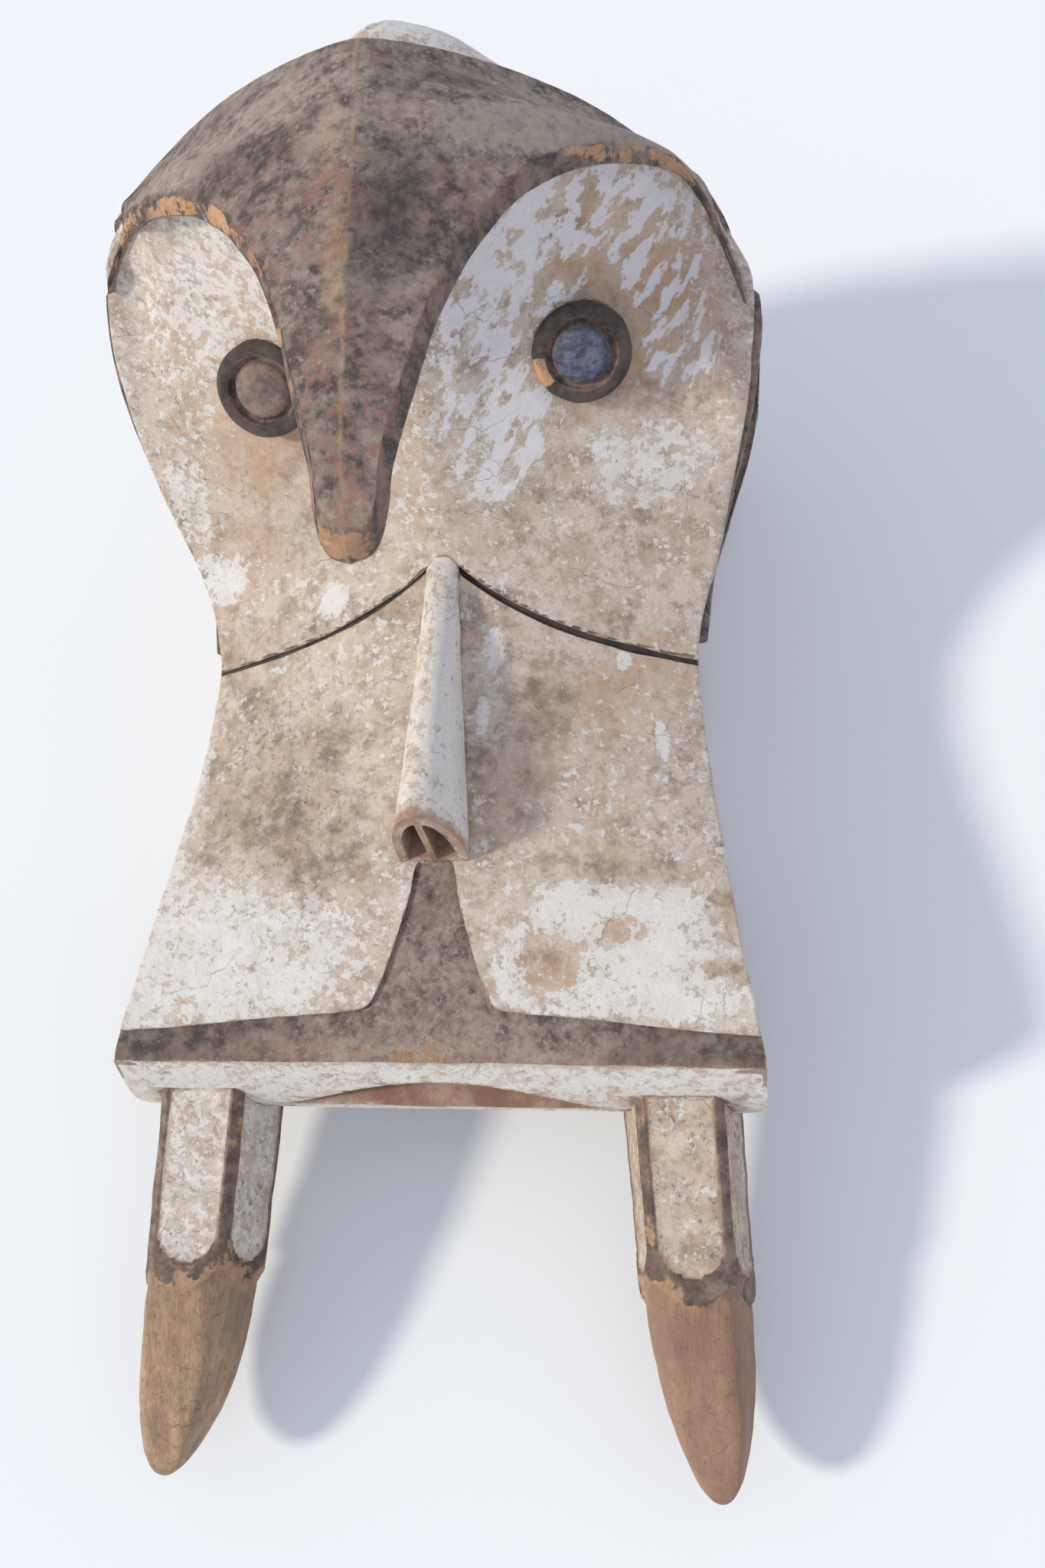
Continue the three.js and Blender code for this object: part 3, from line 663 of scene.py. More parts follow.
def step_edge(out: Array) -> Array:
    """How far back the dark paint in front reaches, at each distance from the middle."""
    line = STEP_PLAN.at(np.linspace(0, 1, 110))
    return np.interp(out, line[:, 0], line[:, 1])


@dataclass(frozen=True)
class Body:
    """Snout, cheeks and helmet in front of the crown, as one loft of sections across the plate."""

    places: int = 160
    places_under_cap: int = 9
    top_points: int = 132
    wall_points: int = 19
    bottom_points: int = 10
    end_rings: int = 9
    end_u: float = 336
    space_margin: float = 0.7
    space_start_u: float = 270
    space_end_u: float = 329
    space_top: float = 348
    crowding: float = 0.86 * math.pi
    edge_radius: float = 1.4
    chamfer_front: float = 14
    chamfer_back: float = 3
    chamfer_start_u: float = 20
    wall_crowding: float = 1.4
    top_margin: float = 2
    line_shift: float = 0.6
    black_from_u: float = 60
    face_seed: int = 11

    DAUBS = {
        Layer.CLAY: (
            Daub(-106, 212, 18, 12, 0.9, -20), Daub(-49, 196, 8, 9, 1.2), Daub(-113, 240, 14, 22, 0.3),
            Daub(-90, 44, 70, 40, 0.65), Daub(-118, 110, 14, 60, 0.35), Daub(-70, 285, 60, 20, 0.25),
            Daub(-60, 105, 60, 50, -0.3), Daub(-84, 168, 44, 44, -0.15), Daub(-60, 240, 50, 34, -0.35),
            Daub(54, 62, 18, 17, 0.75), Daub(78, 54, 26, 26, 0.75, 20), Daub(42, 38, 24, 24, 0.65),
            Daub(102, 46, 30, 32, 0.7), Daub(86, 27, 56, 12, 0.7), Daub(74, 53, 28, 9, -0.85, 8),
            Daub(47, 38, 18, 21, -0.85, 30), Daub(62, 44, 9, 22, 0.45, 10),
            Daub(112, 35, 24, 11, -0.75, 15), Daub(117, 58, 12, 20, -0.7), Daub(70, 78, 40, 14, -0.3),
            Daub(91, 135, 3, 11, 1.6, 10), Daub(22, 170, 5, 12, 1.1), Daub(18, 142, 4, 11, 1.1),
            Daub(75, 169, 4, 6, 1.2), Daub(60, 168, 50, 34, -0.15), Daub(32, 140, 30, 50, -0.2),
            Daub(60, 220, 70, 34, -0.05), Daub(84, 272, 44, 30, -0.4), Daub(88, 244, 34, 16, 0.45, 8),
        ),
        Layer.RUST: (
            Daub(48, 40, 22, 24, 0.7), Daub(74, 53, 26, 12, 0.7), Daub(82, 158, 40, 24, 1.4, 38),
            Daub(90, 282, 44, 26, 0.9), Daub(-62, 258, 50, 34, 0.5), Daub(-98, 226, 40, 64, 0.5),
            Daub(50, 100, 50, 34, 0.35), Daub(-12, 236, 14, 22, 0.8), Daub(-102, 50, 12, 40, 0.3),
        ),
        # painted shade: lavender tint on the right niche and beside the nose's right side, where shade falls
        Layer.COOL: (
            Daub(32, 262, 34, 56, 1.15, -28), Daub(74, 300, 50, 24, 1.0), Daub(104, 278, 34, 34, 0.85),
            Daub(22, 165, 10, 24, 0.6),
        ),
        Layer.GRIME: (
            Daub(-70, 110, 50, 70, 0.45), Daub(36, 140, 30, 40, 0.12), Daub(66, 222, 60, 34, 0.12),
            Daub(-84, 166, 44, 50, 0.1), Daub(-112, 240, 18, 60, 0.45), Daub(116, 106, 14, 24, 0.25),
            Daub(-52, 60, 20, 22, 0.3),
        ),
    }

    def section(self, u: Array, shrink: Array) -> tuple[Array, Array, Array]:
        """Outline of the body at each place along the plate.

        The top runs from left to right with its points crowded to both edges; then come the right wall, the
        rounded foot, the underside and the left wall, a mirror image of the right one.

        Args:
            u: place of each ring, as a column.
            shrink: size of each ring, 1 for the true outline and less within the end face.

        Returns:
            Grids of x, u and w, one row for each ring.
        """
        half = FORM.section_half(u)
        narrow = half / FORM.half_width(u)
        edge = FORM.section_top(half, u)
        bottom = FORM.bottom_height(u)
        radius = self.edge_radius
        turn = np.linspace(-0.5, 0.5, self.top_points)[None] * self.crowding
        top_x = (half - radius) * np.sin(turn) / math.sin(0.5 * self.crowding)
        top_w = FORM.section_top(top_x, u)
        behind = smoothstep(u, self.chamfer_start_u, FORM.throat_end_u)
        chamfer = lerp(self.chamfer_front, self.chamfer_back, behind)
        down = np.linspace(0, 1, self.wall_points)[None] ** self.wall_crowding
        wall_w = lerp(edge - radius, bottom + chamfer, down)
        wall_x = narrow * FORM.wall_across(u, wall_w)
        shoulder = rounded((top_x[:, -1:], top_w[:, -1:]), (half, edge), (wall_x[:, :1], wall_w[:, :1]), 2)
        foot_x = narrow * FORM.wall_across(u, bottom) - chamfer
        foot = rounded((wall_x[:, -1:], wall_w[:, -1:]), (wall_x[:, -1:], bottom), (foot_x, bottom), 3)
        right_x = np.hstack([shoulder[0][0], shoulder[1][0], wall_x, *(point[0] for point in foot)])
        right_w = np.hstack([shoulder[0][1], shoulder[1][1], wall_w, *(point[1] for point in foot)])
        under = np.linspace(1, -1, self.bottom_points)[None]
        x = np.hstack([top_x, right_x, foot_x * under, -right_x[:, ::-1]])
        w = np.hstack([top_w, right_w, bottom + 0 * under, right_w[:, ::-1]])
        middle = -0.5 * FORM.end_height
        x, w = x * shrink, middle + (w - middle) * shrink
        return x, u - FORM.lean_out(u, w), w

    def dark_paint(self, x: Array, u: Array, w: Array) -> Array:
        """Dark paint on the face: a thin line along the groove, and the front band's ends on the snout.

        Args:
            x: places across.
            u: places along.
            w: heights over the plate.

        Returns:
            How surely each place is painted.
        """
        out = np.abs(x)
        off = np.abs(u - FORM.groove_line(out) - self.line_shift)
        line = smoothstep(-off, -3.2 - 0.8 * (x > 0), -0.8) * (out > FORM.groove_start[0] - 1)
        line = line * (w > FORM.edge_height(u) - self.top_margin)
        ahead = smoothstep(step_edge(out) - u, -1.5, 0.5)
        band = ahead * smoothstep(w - FORM.plate_height(x, u), -5, -3)
        at_side = ahead * smoothstep(w, -14, -11) * (out / FORM.half_width(u) > 0.97)
        band = np.maximum(band, at_side) * (out > 0.88 * FORM.snout_half)
        return np.maximum(line, 1.25 * band)

    def finish(self, x: Array, u: Array, w: Array) -> dict[Layer, Array]:
        """Layers of the face: the daubs with the painted shade tint, the dark paint, darkening by the edges,
        the nose's foot and the eyes, and painted shade under the brow.

        Args:
            x: places across.
            u: places along.
            w: heights over the plate.

        Returns:
            The values by layer.
        """
        top = w > FORM.edge_height(u) - self.top_margin
        layers = {layer: np.where(top, laid(self.DAUBS, layer, x, u), 0) for layer in BARE_LAYERS}
        clay = 0.3 + 0.04 * smoothstep(-x, -10, 10) + layers[Layer.CLAY]
        painted = self.dark_paint(x, u, w)
        side = np.abs(x) / FORM.half_width(u)
        upper_edge = smoothstep(side, 0.95, 1.0) * smoothstep(u, 150, 200)
        grime = layers[Layer.GRIME] + 0.12 + 0.3 * upper_edge
        eye = sum(smoothstep(-np.hypot(x - s.side * s.x, (u - s.u) * 1.35), -27, -18) for s in EYES)
        nose_foot = smoothstep(-np.abs(np.abs(x) - 13), -8, 0) * smoothstep(-np.abs(u - 140), -75, -55)
        # painted shade: darker where the face runs in under the brow
        under_brow = smoothstep(w - FORM.forehead_top(x, u), -30, -8)
        return {
            Layer.CLAY: np.where(top, clay, np.where(u < 0.5, 0.68, 0.45)),
            Layer.COOL: np.clip(layers[Layer.COOL], 0, 1),
            Layer.RUST: np.clip(layers[Layer.RUST] + 0.7 * eye, 0, 1),
            Layer.GRIME: np.clip(grime + 0.25 * nose_foot + 0.3 * under_brow + 0.25 * eye, 0, 1),
            Layer.SOOT: -1 + (1.35 + 0.3 * (x > 0)) * painted,
            Layer.WEAR: -1 + 0.35 * smoothstep(side, 0.975, 1.0),
            Layer.BLACK: 0.7 * painted * (u > self.black_from_u),
        }

    def shell(self) -> Shell:
        """The body's surface, with rings within the end face and then back along the plate.

        Returns:
            The shell.
        """
        back = np.linspace(0, FORM.cap_start_u, self.places)
        under = np.linspace(FORM.under_cap_u, self.end_u, self.places_under_cap)
        u = np.concatenate([np.zeros(self.end_rings), back, under])[:, None]
        shrink = np.ones_like(u)
        shrink[:self.end_rings, 0] = np.linspace(0.04, 0.97, self.end_rings)
        x, along, w = self.section(u, shrink)
        points = FORM.place(x, along, w)
        flat = np.broadcast_to(u, x.shape)
        return Shell(points, self.finish(x, flat, w)).hand_cut(depth=0.9, size=15, seed=self.face_seed)

    def space_over_face(self) -> Shell:
        """Open space over the upper face, from which the back of the head stays clear.

        Returns:
            The space as a shell.
        """
        u = np.linspace(self.space_start_u, self.space_end_u, 54)[:, None]
        half = FORM.section_half(u)
        turn = np.linspace(-0.5, 0.5, self.top_points)[None] * self.crowding
        x = half * np.sin(turn) / math.sin(0.5 * self.crowding)
        x = np.hstack([x, half, -half])
        w = FORM.section_top(x, u) - self.space_margin
        w[:, -2:] = self.space_top
        return Shell(FORM.place(x, u, w))


@dataclass(frozen=True)
class BackOfHead:
    """Helmet behind the crown: upright sections swept round from one brow corner to the other."""

    rings: int = 85
    dome_points: int = 30
    wall_points: int = 20
    inner_points: int = 8
    taper: float = 16
    spring: float = 30
    brow_spring: float = 10
    straightness: float = 1.5
    round_at: float = 0.12
    cap_lip: float = 3
    cap_thickness: float = 17
    sink: float = 20
    inside_shares: tuple[float, ...] = (0.97, 0.9, 0.82, 0.75, 0.58, 0.4)
    ridge_half: float = 2.2
    seed: int = 31

    def shell(self) -> Shell:
        """The back's surface: a quarter arch from the crown to the wall, then straight down to the rim.

        The arch is round on the right beside the middle, and nearly straight elsewhere.

        Returns:
            The shell.
        """
        turn = np.linspace(0, np.pi, self.rings)[:, None]
        across, depth = np.cos(turn), np.sin(turn)
        crown_x = FORM.brow_x * across
        crown_u = FORM.crown_edge(crown_x)
        wall_x = (FORM.cheek_half - FORM.wall_recess) * across
        wall_u = lerp(FORM.back_start_u, FORM.back_u, depth)
        crest = FORM.forehead_top(crown_x, crown_u) - self.cap_lip
        spring = lerp(self.spring, self.brow_spring, np.abs(across) ** 3)
        rise = np.linspace(0, 0.5 * np.pi, self.dome_points)[None]
        power = lerp(1, self.straightness, smoothstep(np.abs(across - self.round_at), 0.05, 0.3))
        out, up = np.maximum(0, np.cos(rise)) ** power, np.sin(rise) ** power
        dome_x = lerp(crown_x, wall_x, out)
        dome_u = lerp(crown_u, wall_u, out)
        dome_w = lerp(spring, crest, up)
        down = np.linspace(1, 0, self.wall_points, endpoint=False)[None]
        foot_x = wall_x * (1 - FORM.side_taper)
        foot_u = wall_u - self.taper * depth
        side_x, side_u = lerp(wall_x, foot_x, down), lerp(wall_u, foot_u, down)
        side_w = lerp(spring, FORM.body_bottom, down)
        inside = np.array(self.inside_shares)[None]
        middle_x, middle_u = crown_x * inside, lerp(FORM.cheek_u, crown_u, inside)
        middle_w = FORM.body_top(middle_x, middle_u) - self.sink
        middle_w = middle_w + (self.sink + self.cap_lip) * (middle_u > FORM.cap_start_u)
        axis = np.zeros_like(across)
        axis_top = FORM.forehead_top(axis, axis + FORM.cheek_u) - self.cap_thickness
        bottom_share = np.linspace(0.2, 0.8, self.inner_points)[None]
        x = np.hstack([axis, axis, foot_x * bottom_share, side_x, dome_x, middle_x])
        u = np.hstack([axis + FORM.cheek_u, axis + FORM.cheek_u, lerp(FORM.cheek_u, foot_u, bottom_share),
                       side_u, dome_u, middle_u])
        w = np.hstack([axis_top, axis + FORM.body_bottom, FORM.body_bottom + 0 * bottom_share * across,
                       side_w, dome_w, middle_w])
        points = FORM.place(x, u, w)
        outside = w > FORM.body_bottom
        ridge = smoothstep(-np.abs(x), -self.ridge_half, 0) * outside
        low = smoothstep(-points[..., 2], -60, 0)
        layers = {
            Layer.CLAY: 0.6 + 0.35 * mottle(points, 60, self.seed) - 0.5 * ridge,
            Layer.RUST: 0.5 * ridge,
            Layer.GRIME: 0.25 + 0.25 * mottle(points, 40, self.seed + 1) + 0.3 * low,
        }
        return Shell(points, layers).hand_cut(depth=1.1, size=22, seed=self.seed + 2)


@dataclass(frozen=True)
class Brow:
    """Forehead cap that runs out over the face as a beak, with a chipped rim."""

    rings: int = 286
    top_points: int = 52
    rim_points: int = 7
    under_points: int = 18
    crowding: float = 1.3
    cap_thickness: float = 17
    rim_flare: float = 2.5
    edge_radius: float = 1.2
    corner_drop: float = 8.5
    corner_draw: float = 0.02
    corner_span: tuple[float, float] = (0.9, 0.985)
    tip_sharpness: float = 8
    under_crowding: float = 1.5
    seed: int = 51
    chip_depth: float = 1.7
    chip_size: float = 6

    RIM_PLAN = SmoothPath(((0, 152.5), (6, 154.5), (9, 159), (10.5, 167), (12, 180), (18, 203), (25, 230),
                           (33, 251), (41, 265), (50, 276), (66, 287), (85, 294), (100, 299), (115, 301),
                           (125, 300), (130, 296)))

    DAUBS = {
        Layer.WEAR: (
            Daub(102, 301, 20, 8, 1.3, -10), Daub(78, 293, 20, 7, 0.7, 12), Daub(60, 290, 20, 5, 0.35, 20),
            Daub(-112, 300, 22, 6, 0.8), Daub(-84, 292, 20, 7, 0.8, -14), Daub(-56, 280, 12, 6, 0.7, -35),
            Daub(-40, 261, 5, 19, 0.75, 34), Daub(-28, 232, 4, 16, 0.5, 16), Daub(17, 205, 4, 12, 0.3),
            Daub(0, 155, 14, 8, 1.3), Daub(-9, 168, 3, 12, 0.5), Daub(30, 247, 4, 16, 0.3, -20),
        ),
        Layer.RUST: (
            Daub(-5, 250, 6, 30, 0.55), Daub(-9, 294, 6, 26, 0.4), Daub(-3, 222, 6, 20, 0.2),
            Daub(0, 160, 14, 12, 0.4),
        ),
        Layer.RED: (
            Daub(-6, 270, 14, 34, 0.75), Daub(0, 190, 26, 50, 0.65), Daub(-30, 262, 26, 30, 0.55),
            Daub(14, 168, 8, 24, 0.3), Daub(-50, 300, 50, 20, 0.12),
        ),
        Layer.CLAY: (
            Daub(68, 300, 60, 18, 1.3, 4), Daub(84, 322, 54, 22, 0.8, -14), Daub(-84, 306, 50, 20, 0.5, 10),
            Daub(-30, 322, 40, 14, 0.4), Daub(24, 262, 26, 26, -0.5), Daub(-34, 276, 30, 20, -0.4),
            Daub(2, 196, 24, 44, -0.35),
        ),
        Layer.BLACK: (
            Daub(10, 262, 18, 44, 0.45, -8), Daub(-46, 300, 34, 14, 0.35, 12), Daub(36, 326, 30, 9, 0.3),
        ),
    }

    def plan(self, side: Array) -> tuple[Array, Array, Array, Array]:
        """Front and back ends of each ring in the plate's plan, for the side's distance from the middle.

        Args:
            side: each ring's share of the way from the beak to a corner.

        Returns:
            Front x and u, and back x and u, of each ring.
        """
        along = np.abs(side) ** self.crowding
        front = self.RIM_PLAN.at(along)
        back_x = FORM.brow_x * along
        return front[..., 0], front[..., 1], back_x, FORM.crown_edge(back_x)

    def shell(self) -> Shell:
        """The cap's surface: back over the top, down the rim at the front, and forward again below.

        Returns:
            The shell.
        """
        side = np.linspace(-1, 1, self.rings)[:, None]
        front_x, front_u, back_x, back_u = self.plan(side)
        tip = np.maximum(0, 1 - self.tip_sharpness * np.abs(side) ** self.crowding)
        length = np.maximum(np.hypot(back_x - front_x, back_u - front_u), 1e-3)
        inset = np.minimum(self.edge_radius / length, 0.2)
        t = inset + (1 - inset) * np.linspace(0, 1, self.top_points)[None]
        top_x, top_u = lerp(front_x, back_x, t), lerp(front_u, back_u, t)
        top_w = FORM.forehead_top(top_x, top_u)
        t = np.linspace(1, 0, self.under_points)[None] ** self.under_crowding
        inside = np.minimum(1, 3 * np.minimum(t, 1 - t))
        near = np.maximum(0, 1 - 6 * t)
        under_x, under_u = lerp(front_x, back_x, t), lerp(front_u, back_u, t)
        thickness = lerp(FORM.rim_height + 2 * tip, self.cap_thickness, inside)
        under_w = FORM.forehead_top(under_x, under_u) - thickness
        under_x = under_x + self.rim_flare * np.minimum(1, 6 * np.abs(side)) * near
        under_u = under_u - (1 + self.rim_flare * tip) * near
        high = FORM.forehead_top(front_x, front_u) - self.edge_radius
        fall = np.linspace(0, 1, self.rim_points, endpoint=False)[None]
        rim_x = lerp(front_x, under_x[:, -1:], fall)
        rim_u = lerp(front_u, under_u[:, -1:], fall)
        rim_w = lerp(high, under_w[:, -1:], fall)
        x = np.hstack([top_x, under_x, rim_x[:, ::-1]])
        u = np.hstack([top_u, under_u, rim_u[:, ::-1]])
        w = np.hstack([top_w, under_w, rim_w[:, ::-1]])
        x = np.where(side < 0, -x, x)
        near_end = smoothstep(np.abs(side), *self.corner_span)
        w = w - self.corner_drop * near_end
        x = x * (1 - self.corner_draw * near_end)
        points = FORM.place(x, u, w)
        part = np.concatenate([np.zeros(self.top_points), np.full(self.under_points, 2),
                               np.ones(self.rim_points)])[None]
        from_rim = np.hstack([np.hypot(top_x - front_x, top_u - front_u), 30 + 0 * under_x, 0 * rim_x])
        made = Shell(points, self.finish(points, x, u, part, from_rim, side))
        chips = smoothstep(mottle(points, self.chip_size, self.seed), 0.1, 0.5)
        rim = smoothstep(-from_rim, -5, -1)
        rough = 0.35 + 0.65 * smoothstep(-x, -10, 20)
        ends = smoothstep(1 - np.abs(side), 0, 0.05)
        made = made.hand_cut(depth=0.8, size=14, seed=self.seed + 2)
        return made.sunk(self.chip_depth * chips * rim * rough * ends)

    def finish(self, points: Array, x: Array, u: Array, part: Array, from_rim: Array,
               side: Array) -> dict[Layer, Array]:
        """Layers of the forehead: dark paint all over, worn through along the ridge and the rim.

        Args:
            points: places in millimetres.
            x: places across.
            u: places along.
            part: 0 on the top, 1 on the rim and 2 below.
            from_rim: distance from the rim in plan.
            side: each ring's share of the way from the beak to a corner, negative on the left.

        Returns:
            The values by layer.
        """
        crease = smoothstep(-np.abs(x + 1), -1.6, 0)
        left = smoothstep(-side, -0.02, 0.15) * smoothstep(1 + side, 0, 0.05)
        rim_band = smoothstep(2 - from_rim, -4 - 4 * left, 0)
        worn = laid(self.DAUBS, Layer.WEAR, x, u)
        chips = mottle(points, 7, self.seed + 5)
        wear = -1.0 + rim_band * (0.35 + 0.35 * left + 0.7 * worn + 0.45 * chips)
        wear = wear - 0.3 * (part == 1) * (1 - left) * (1 - np.minimum(worn, 1))
        rust = laid(self.DAUBS, Layer.RUST, x, u)
        return {
            Layer.SOOT: np.full(x.shape, 1.0),
            Layer.WEAR: wear,
            Layer.CLAY: -0.2 + laid(self.DAUBS, Layer.CLAY, x, u) - 0.3 * crease - 1.3 * rim_band,
            Layer.RUST: np.clip(rust + 0.5 * crease, 0, 1),
            Layer.RED: np.clip(laid(self.DAUBS, Layer.RED, x, u) + 0.35 * rim_band, 0, 1),
            Layer.FRESH: rim_band * (0.55 + 0.45 * left),
            Layer.BLACK: np.clip(laid(self.DAUBS, Layer.BLACK, x, u), 0, 1),
            # painted shade: darker on the cap's underside
            Layer.GRIME: np.where(part == 2, 0.7, 0.1),
        }


@dataclass(frozen=True)
class Nose:
    """Long low ridge that grows towards its open end, with two arched nostrils beside a leaning septum."""

    top_u: float = 212
    end_u: float = 81
    end_lean: float = 10
    height: float = 34
    top_half: float = 7
    half: float = 15
    rise: float = 0.75
    skew: float = 1.7
    flat_u: float = 200
    sink: float = 8
    roundness: float = 0.82
    growth: float = 1.3
    rounded_top: float = 0.06
    nostril_depth: float = 34
    nostril_wall: float = 3.8
    nostril_taper: float = 0.45
    septum: float = 2.8
    rings: int = 84
    arch_points: int = 42
    seed: int = 71

    def shell(self) -> Shell:
        """The ridge's surface: an arched section on a straight foot, swept and grown from top to end.

        Returns:
            The shell.
        """
        grown = np.linspace(0, 1, self.rings)[:, None]
        height = self.height * grown ** self.rise + 0.5
        half = lerp(self.top_half, self.half, grown ** self.growth)
        half = half * np.sqrt(np.clip(grown / self.rounded_top, 0.04, 1))
        along = lerp(self.top_u, self.end_u, grown)
        turn = np.linspace(0, np.pi, self.arch_points)[None]
        arch = np.sin(turn) ** self.roundness
        x = np.hstack([-half, half, half * np.cos(turn)])
        w = np.hstack([0 * half - self.sink, 0 * half - self.sink, height * arch])
        lean = grown / self.height
        foot = FORM.face_height(np.zeros_like(along), np.minimum(along, self.flat_u))
        across = x - self.skew * lean * np.maximum(w, 0)
        u = along + self.end_lean * lean * w
        points = FORM.place(across, u, w + foot)
        right = smoothstep(x / half, -0.15, 0.3)
        ridge = smoothstep(-np.abs(x / half + 0.1), -0.3, 0)
        end = smoothstep(grown, 0.93, 1)
        layers = {
            Layer.CLAY: 0.62 + 0.4 * right - 0.2 * ridge * smoothstep(grown, 0.1, 0.4) - 1.3 * end,
            # painted shade: a lavender tint on the nose's shaded right side
            Layer.COOL: 0.4 * right * (1 - end),
            Layer.RUST: np.clip(0.15 * (1 - right) + 0.15 * ridge + 0.8 * end, 0, 1),
            Layer.RED: 0.5 * end + 0 * x,
            Layer.GRIME: 0.1 + 0.15 * (1 - right) + 0.3 * end,
        }
        return Shell(points, layers).hand_cut(depth=1.1, size=9, seed=self.seed)

    def nostril(self, side: int) -> Shell:
        """One tube with an arched section, which narrows inwards beside the septum.

        Args:
            side: -1 for the left one and 1 for the right one.

        Returns:
            The space as a shell.
        """
        depth = np.linspace(0, 1, 14)[:, None]
        shrink = 1 - self.nostril_taper * depth
        half = (self.half - self.nostril_wall - self.septum / 2) * shrink
        turn = np.linspace(0, 0.5 * np.pi, 16)[None]
        arch = np.sin(turn) ** self.roundness
        x = np.hstack([0 * half, half * np.cos(turn)]) + self.septum / 2
        w = np.hstack([0 * half, (self.height - self.nostril_wall) * arch * shrink])
        start = self.end_u - self.sink
        u = lerp(start, self.end_u + self.nostril_depth, depth) + self.end_lean * w / self.height
        across = side * x - self.skew * w / self.height
        points = FORM.place(across, u, w + FORM.plate_crown + 1)
        # painted shade: darker deeper inside the nostril
        deep = smoothstep(depth, 0.2, 0.7) + 0 * w
        layers = {Layer.CLAY: -0.8, Layer.RUST: 0.5, Layer.RED: 0.7, Layer.GRIME: 0.3 + 0.6 * deep}
        return Shell(points, layers)


@dataclass(frozen=True)
class Eye:
    """A turned boss: a dark ring, a reddish groove and a domed blue-grey pupil."""

    side: int
    x: float
    u: float
    radius: float = 19
    pupil: float = 11.5
    height: float = 8.5
    root: float = 22
    groove: float = 3
    dome: float = 2
    tilt_front: float = math.radians(43)
    tilt_out: float = math.radians(9)
    segments: int = 64
    seed: int = 91

    def profile(self) -> Array:
        """Radius and height from the rim's foot over the ring and down the groove to the pupil's top.

        Returns:
            Rows of radius and height in millimetres.
        """
        ring, pupil, top = self.radius, self.pupil, self.height
        points = ((ring + 1, top - 3), (ring + 0.6, top - 1.4), (ring - 0.7, top - 0.3), (ring - 2, top),
                  (pupil + 4, top - 0.1), (pupil + 2.6, top - 0.6), (pupil + 1.7, top - self.groove),
                  (pupil + 0.9, top - self.groove), (pupil - 0.3, top - 1.2), (pupil - 2, top + 0.2),
                  (pupil / 2, top + self.dome - 0.5), (0.3, top + self.dome))
        return np.vstack([(ring + 1, -self.root), SmoothPath(points).at(np.linspace(0, 1, 40))])

    def shell(self) -> Shell:
        """The boss's surface: the profile turned round an axis square to the sloping face.

        Returns:
            The shell.
        """
        r, h = self.profile().T
        turn = np.linspace(0, 2 * np.pi, self.segments, endpoint=False)
        tilt = FORM.place(self.side * math.tan(self.tilt_out), -math.tan(self.tilt_front), 1.0)
        axis = tilt - FORM.place(0.0, 0.0, 0.0)
        axis = axis / np.linalg.norm(axis)
        right = np.cross([0, 1, 0], axis)
        right = right / np.linalg.norm(right)
        up = np.cross(axis, right)
        x = np.array(self.side * self.x)
        centre = FORM.place(x, np.array(self.u), FORM.face_height(x, np.array(self.u)))
        out = right * np.cos(turn)[:, None] + up * np.sin(turn)[:, None]
        points = centre + r[:, None, None] * out + h[:, None, None] * axis
        radius = np.broadcast_to(r[:, None], points.shape[:2])
        high = np.broadcast_to(h[:, None], points.shape[:2])
        ring = smoothstep(radius, self.pupil + 2.4, self.pupil + 3.2)
        pupil = smoothstep(-radius, -self.pupil - 0.4, -self.pupil + 0.8)
        low = smoothstep(-high, -self.height + 3, -self.height + 7)
        lower_left = smoothstep(-np.cos(turn - 0.5), 0.88, 1.0)[None] * (self.side > 0)
        layers = {
            Layer.SOOT: np.clip(1 - 1.2 * low - 1.8 * lower_left * ring, -1, 1),
            Layer.NAVY: (0.62 + 0.38 * self.side) * pupil,
            Layer.BLACK: 0.68 * ring,
            Layer.WEAR: -1 + 0.25 * low + 1.5 * lower_left * ring,
            Layer.RUST: 0.3 * low + (0.25 - 0.25 * self.side) * pupil,
            Layer.RED: 0.6 * (1 - ring) * (1 - pupil) + (0.1 - 0.1 * self.side) * pupil,
            Layer.CLAY: -1.3 - 0.3 * pupil,
            Layer.FRESH: lower_left * ring,
            Layer.GRIME: 0.12,
        }
        return Shell(points, layers).hand_cut(depth=0.7, size=7, seed=self.seed + self.side)


EYES = (Eye(side=-1, x=66, u=267), Eye(side=1, x=63, u=269))


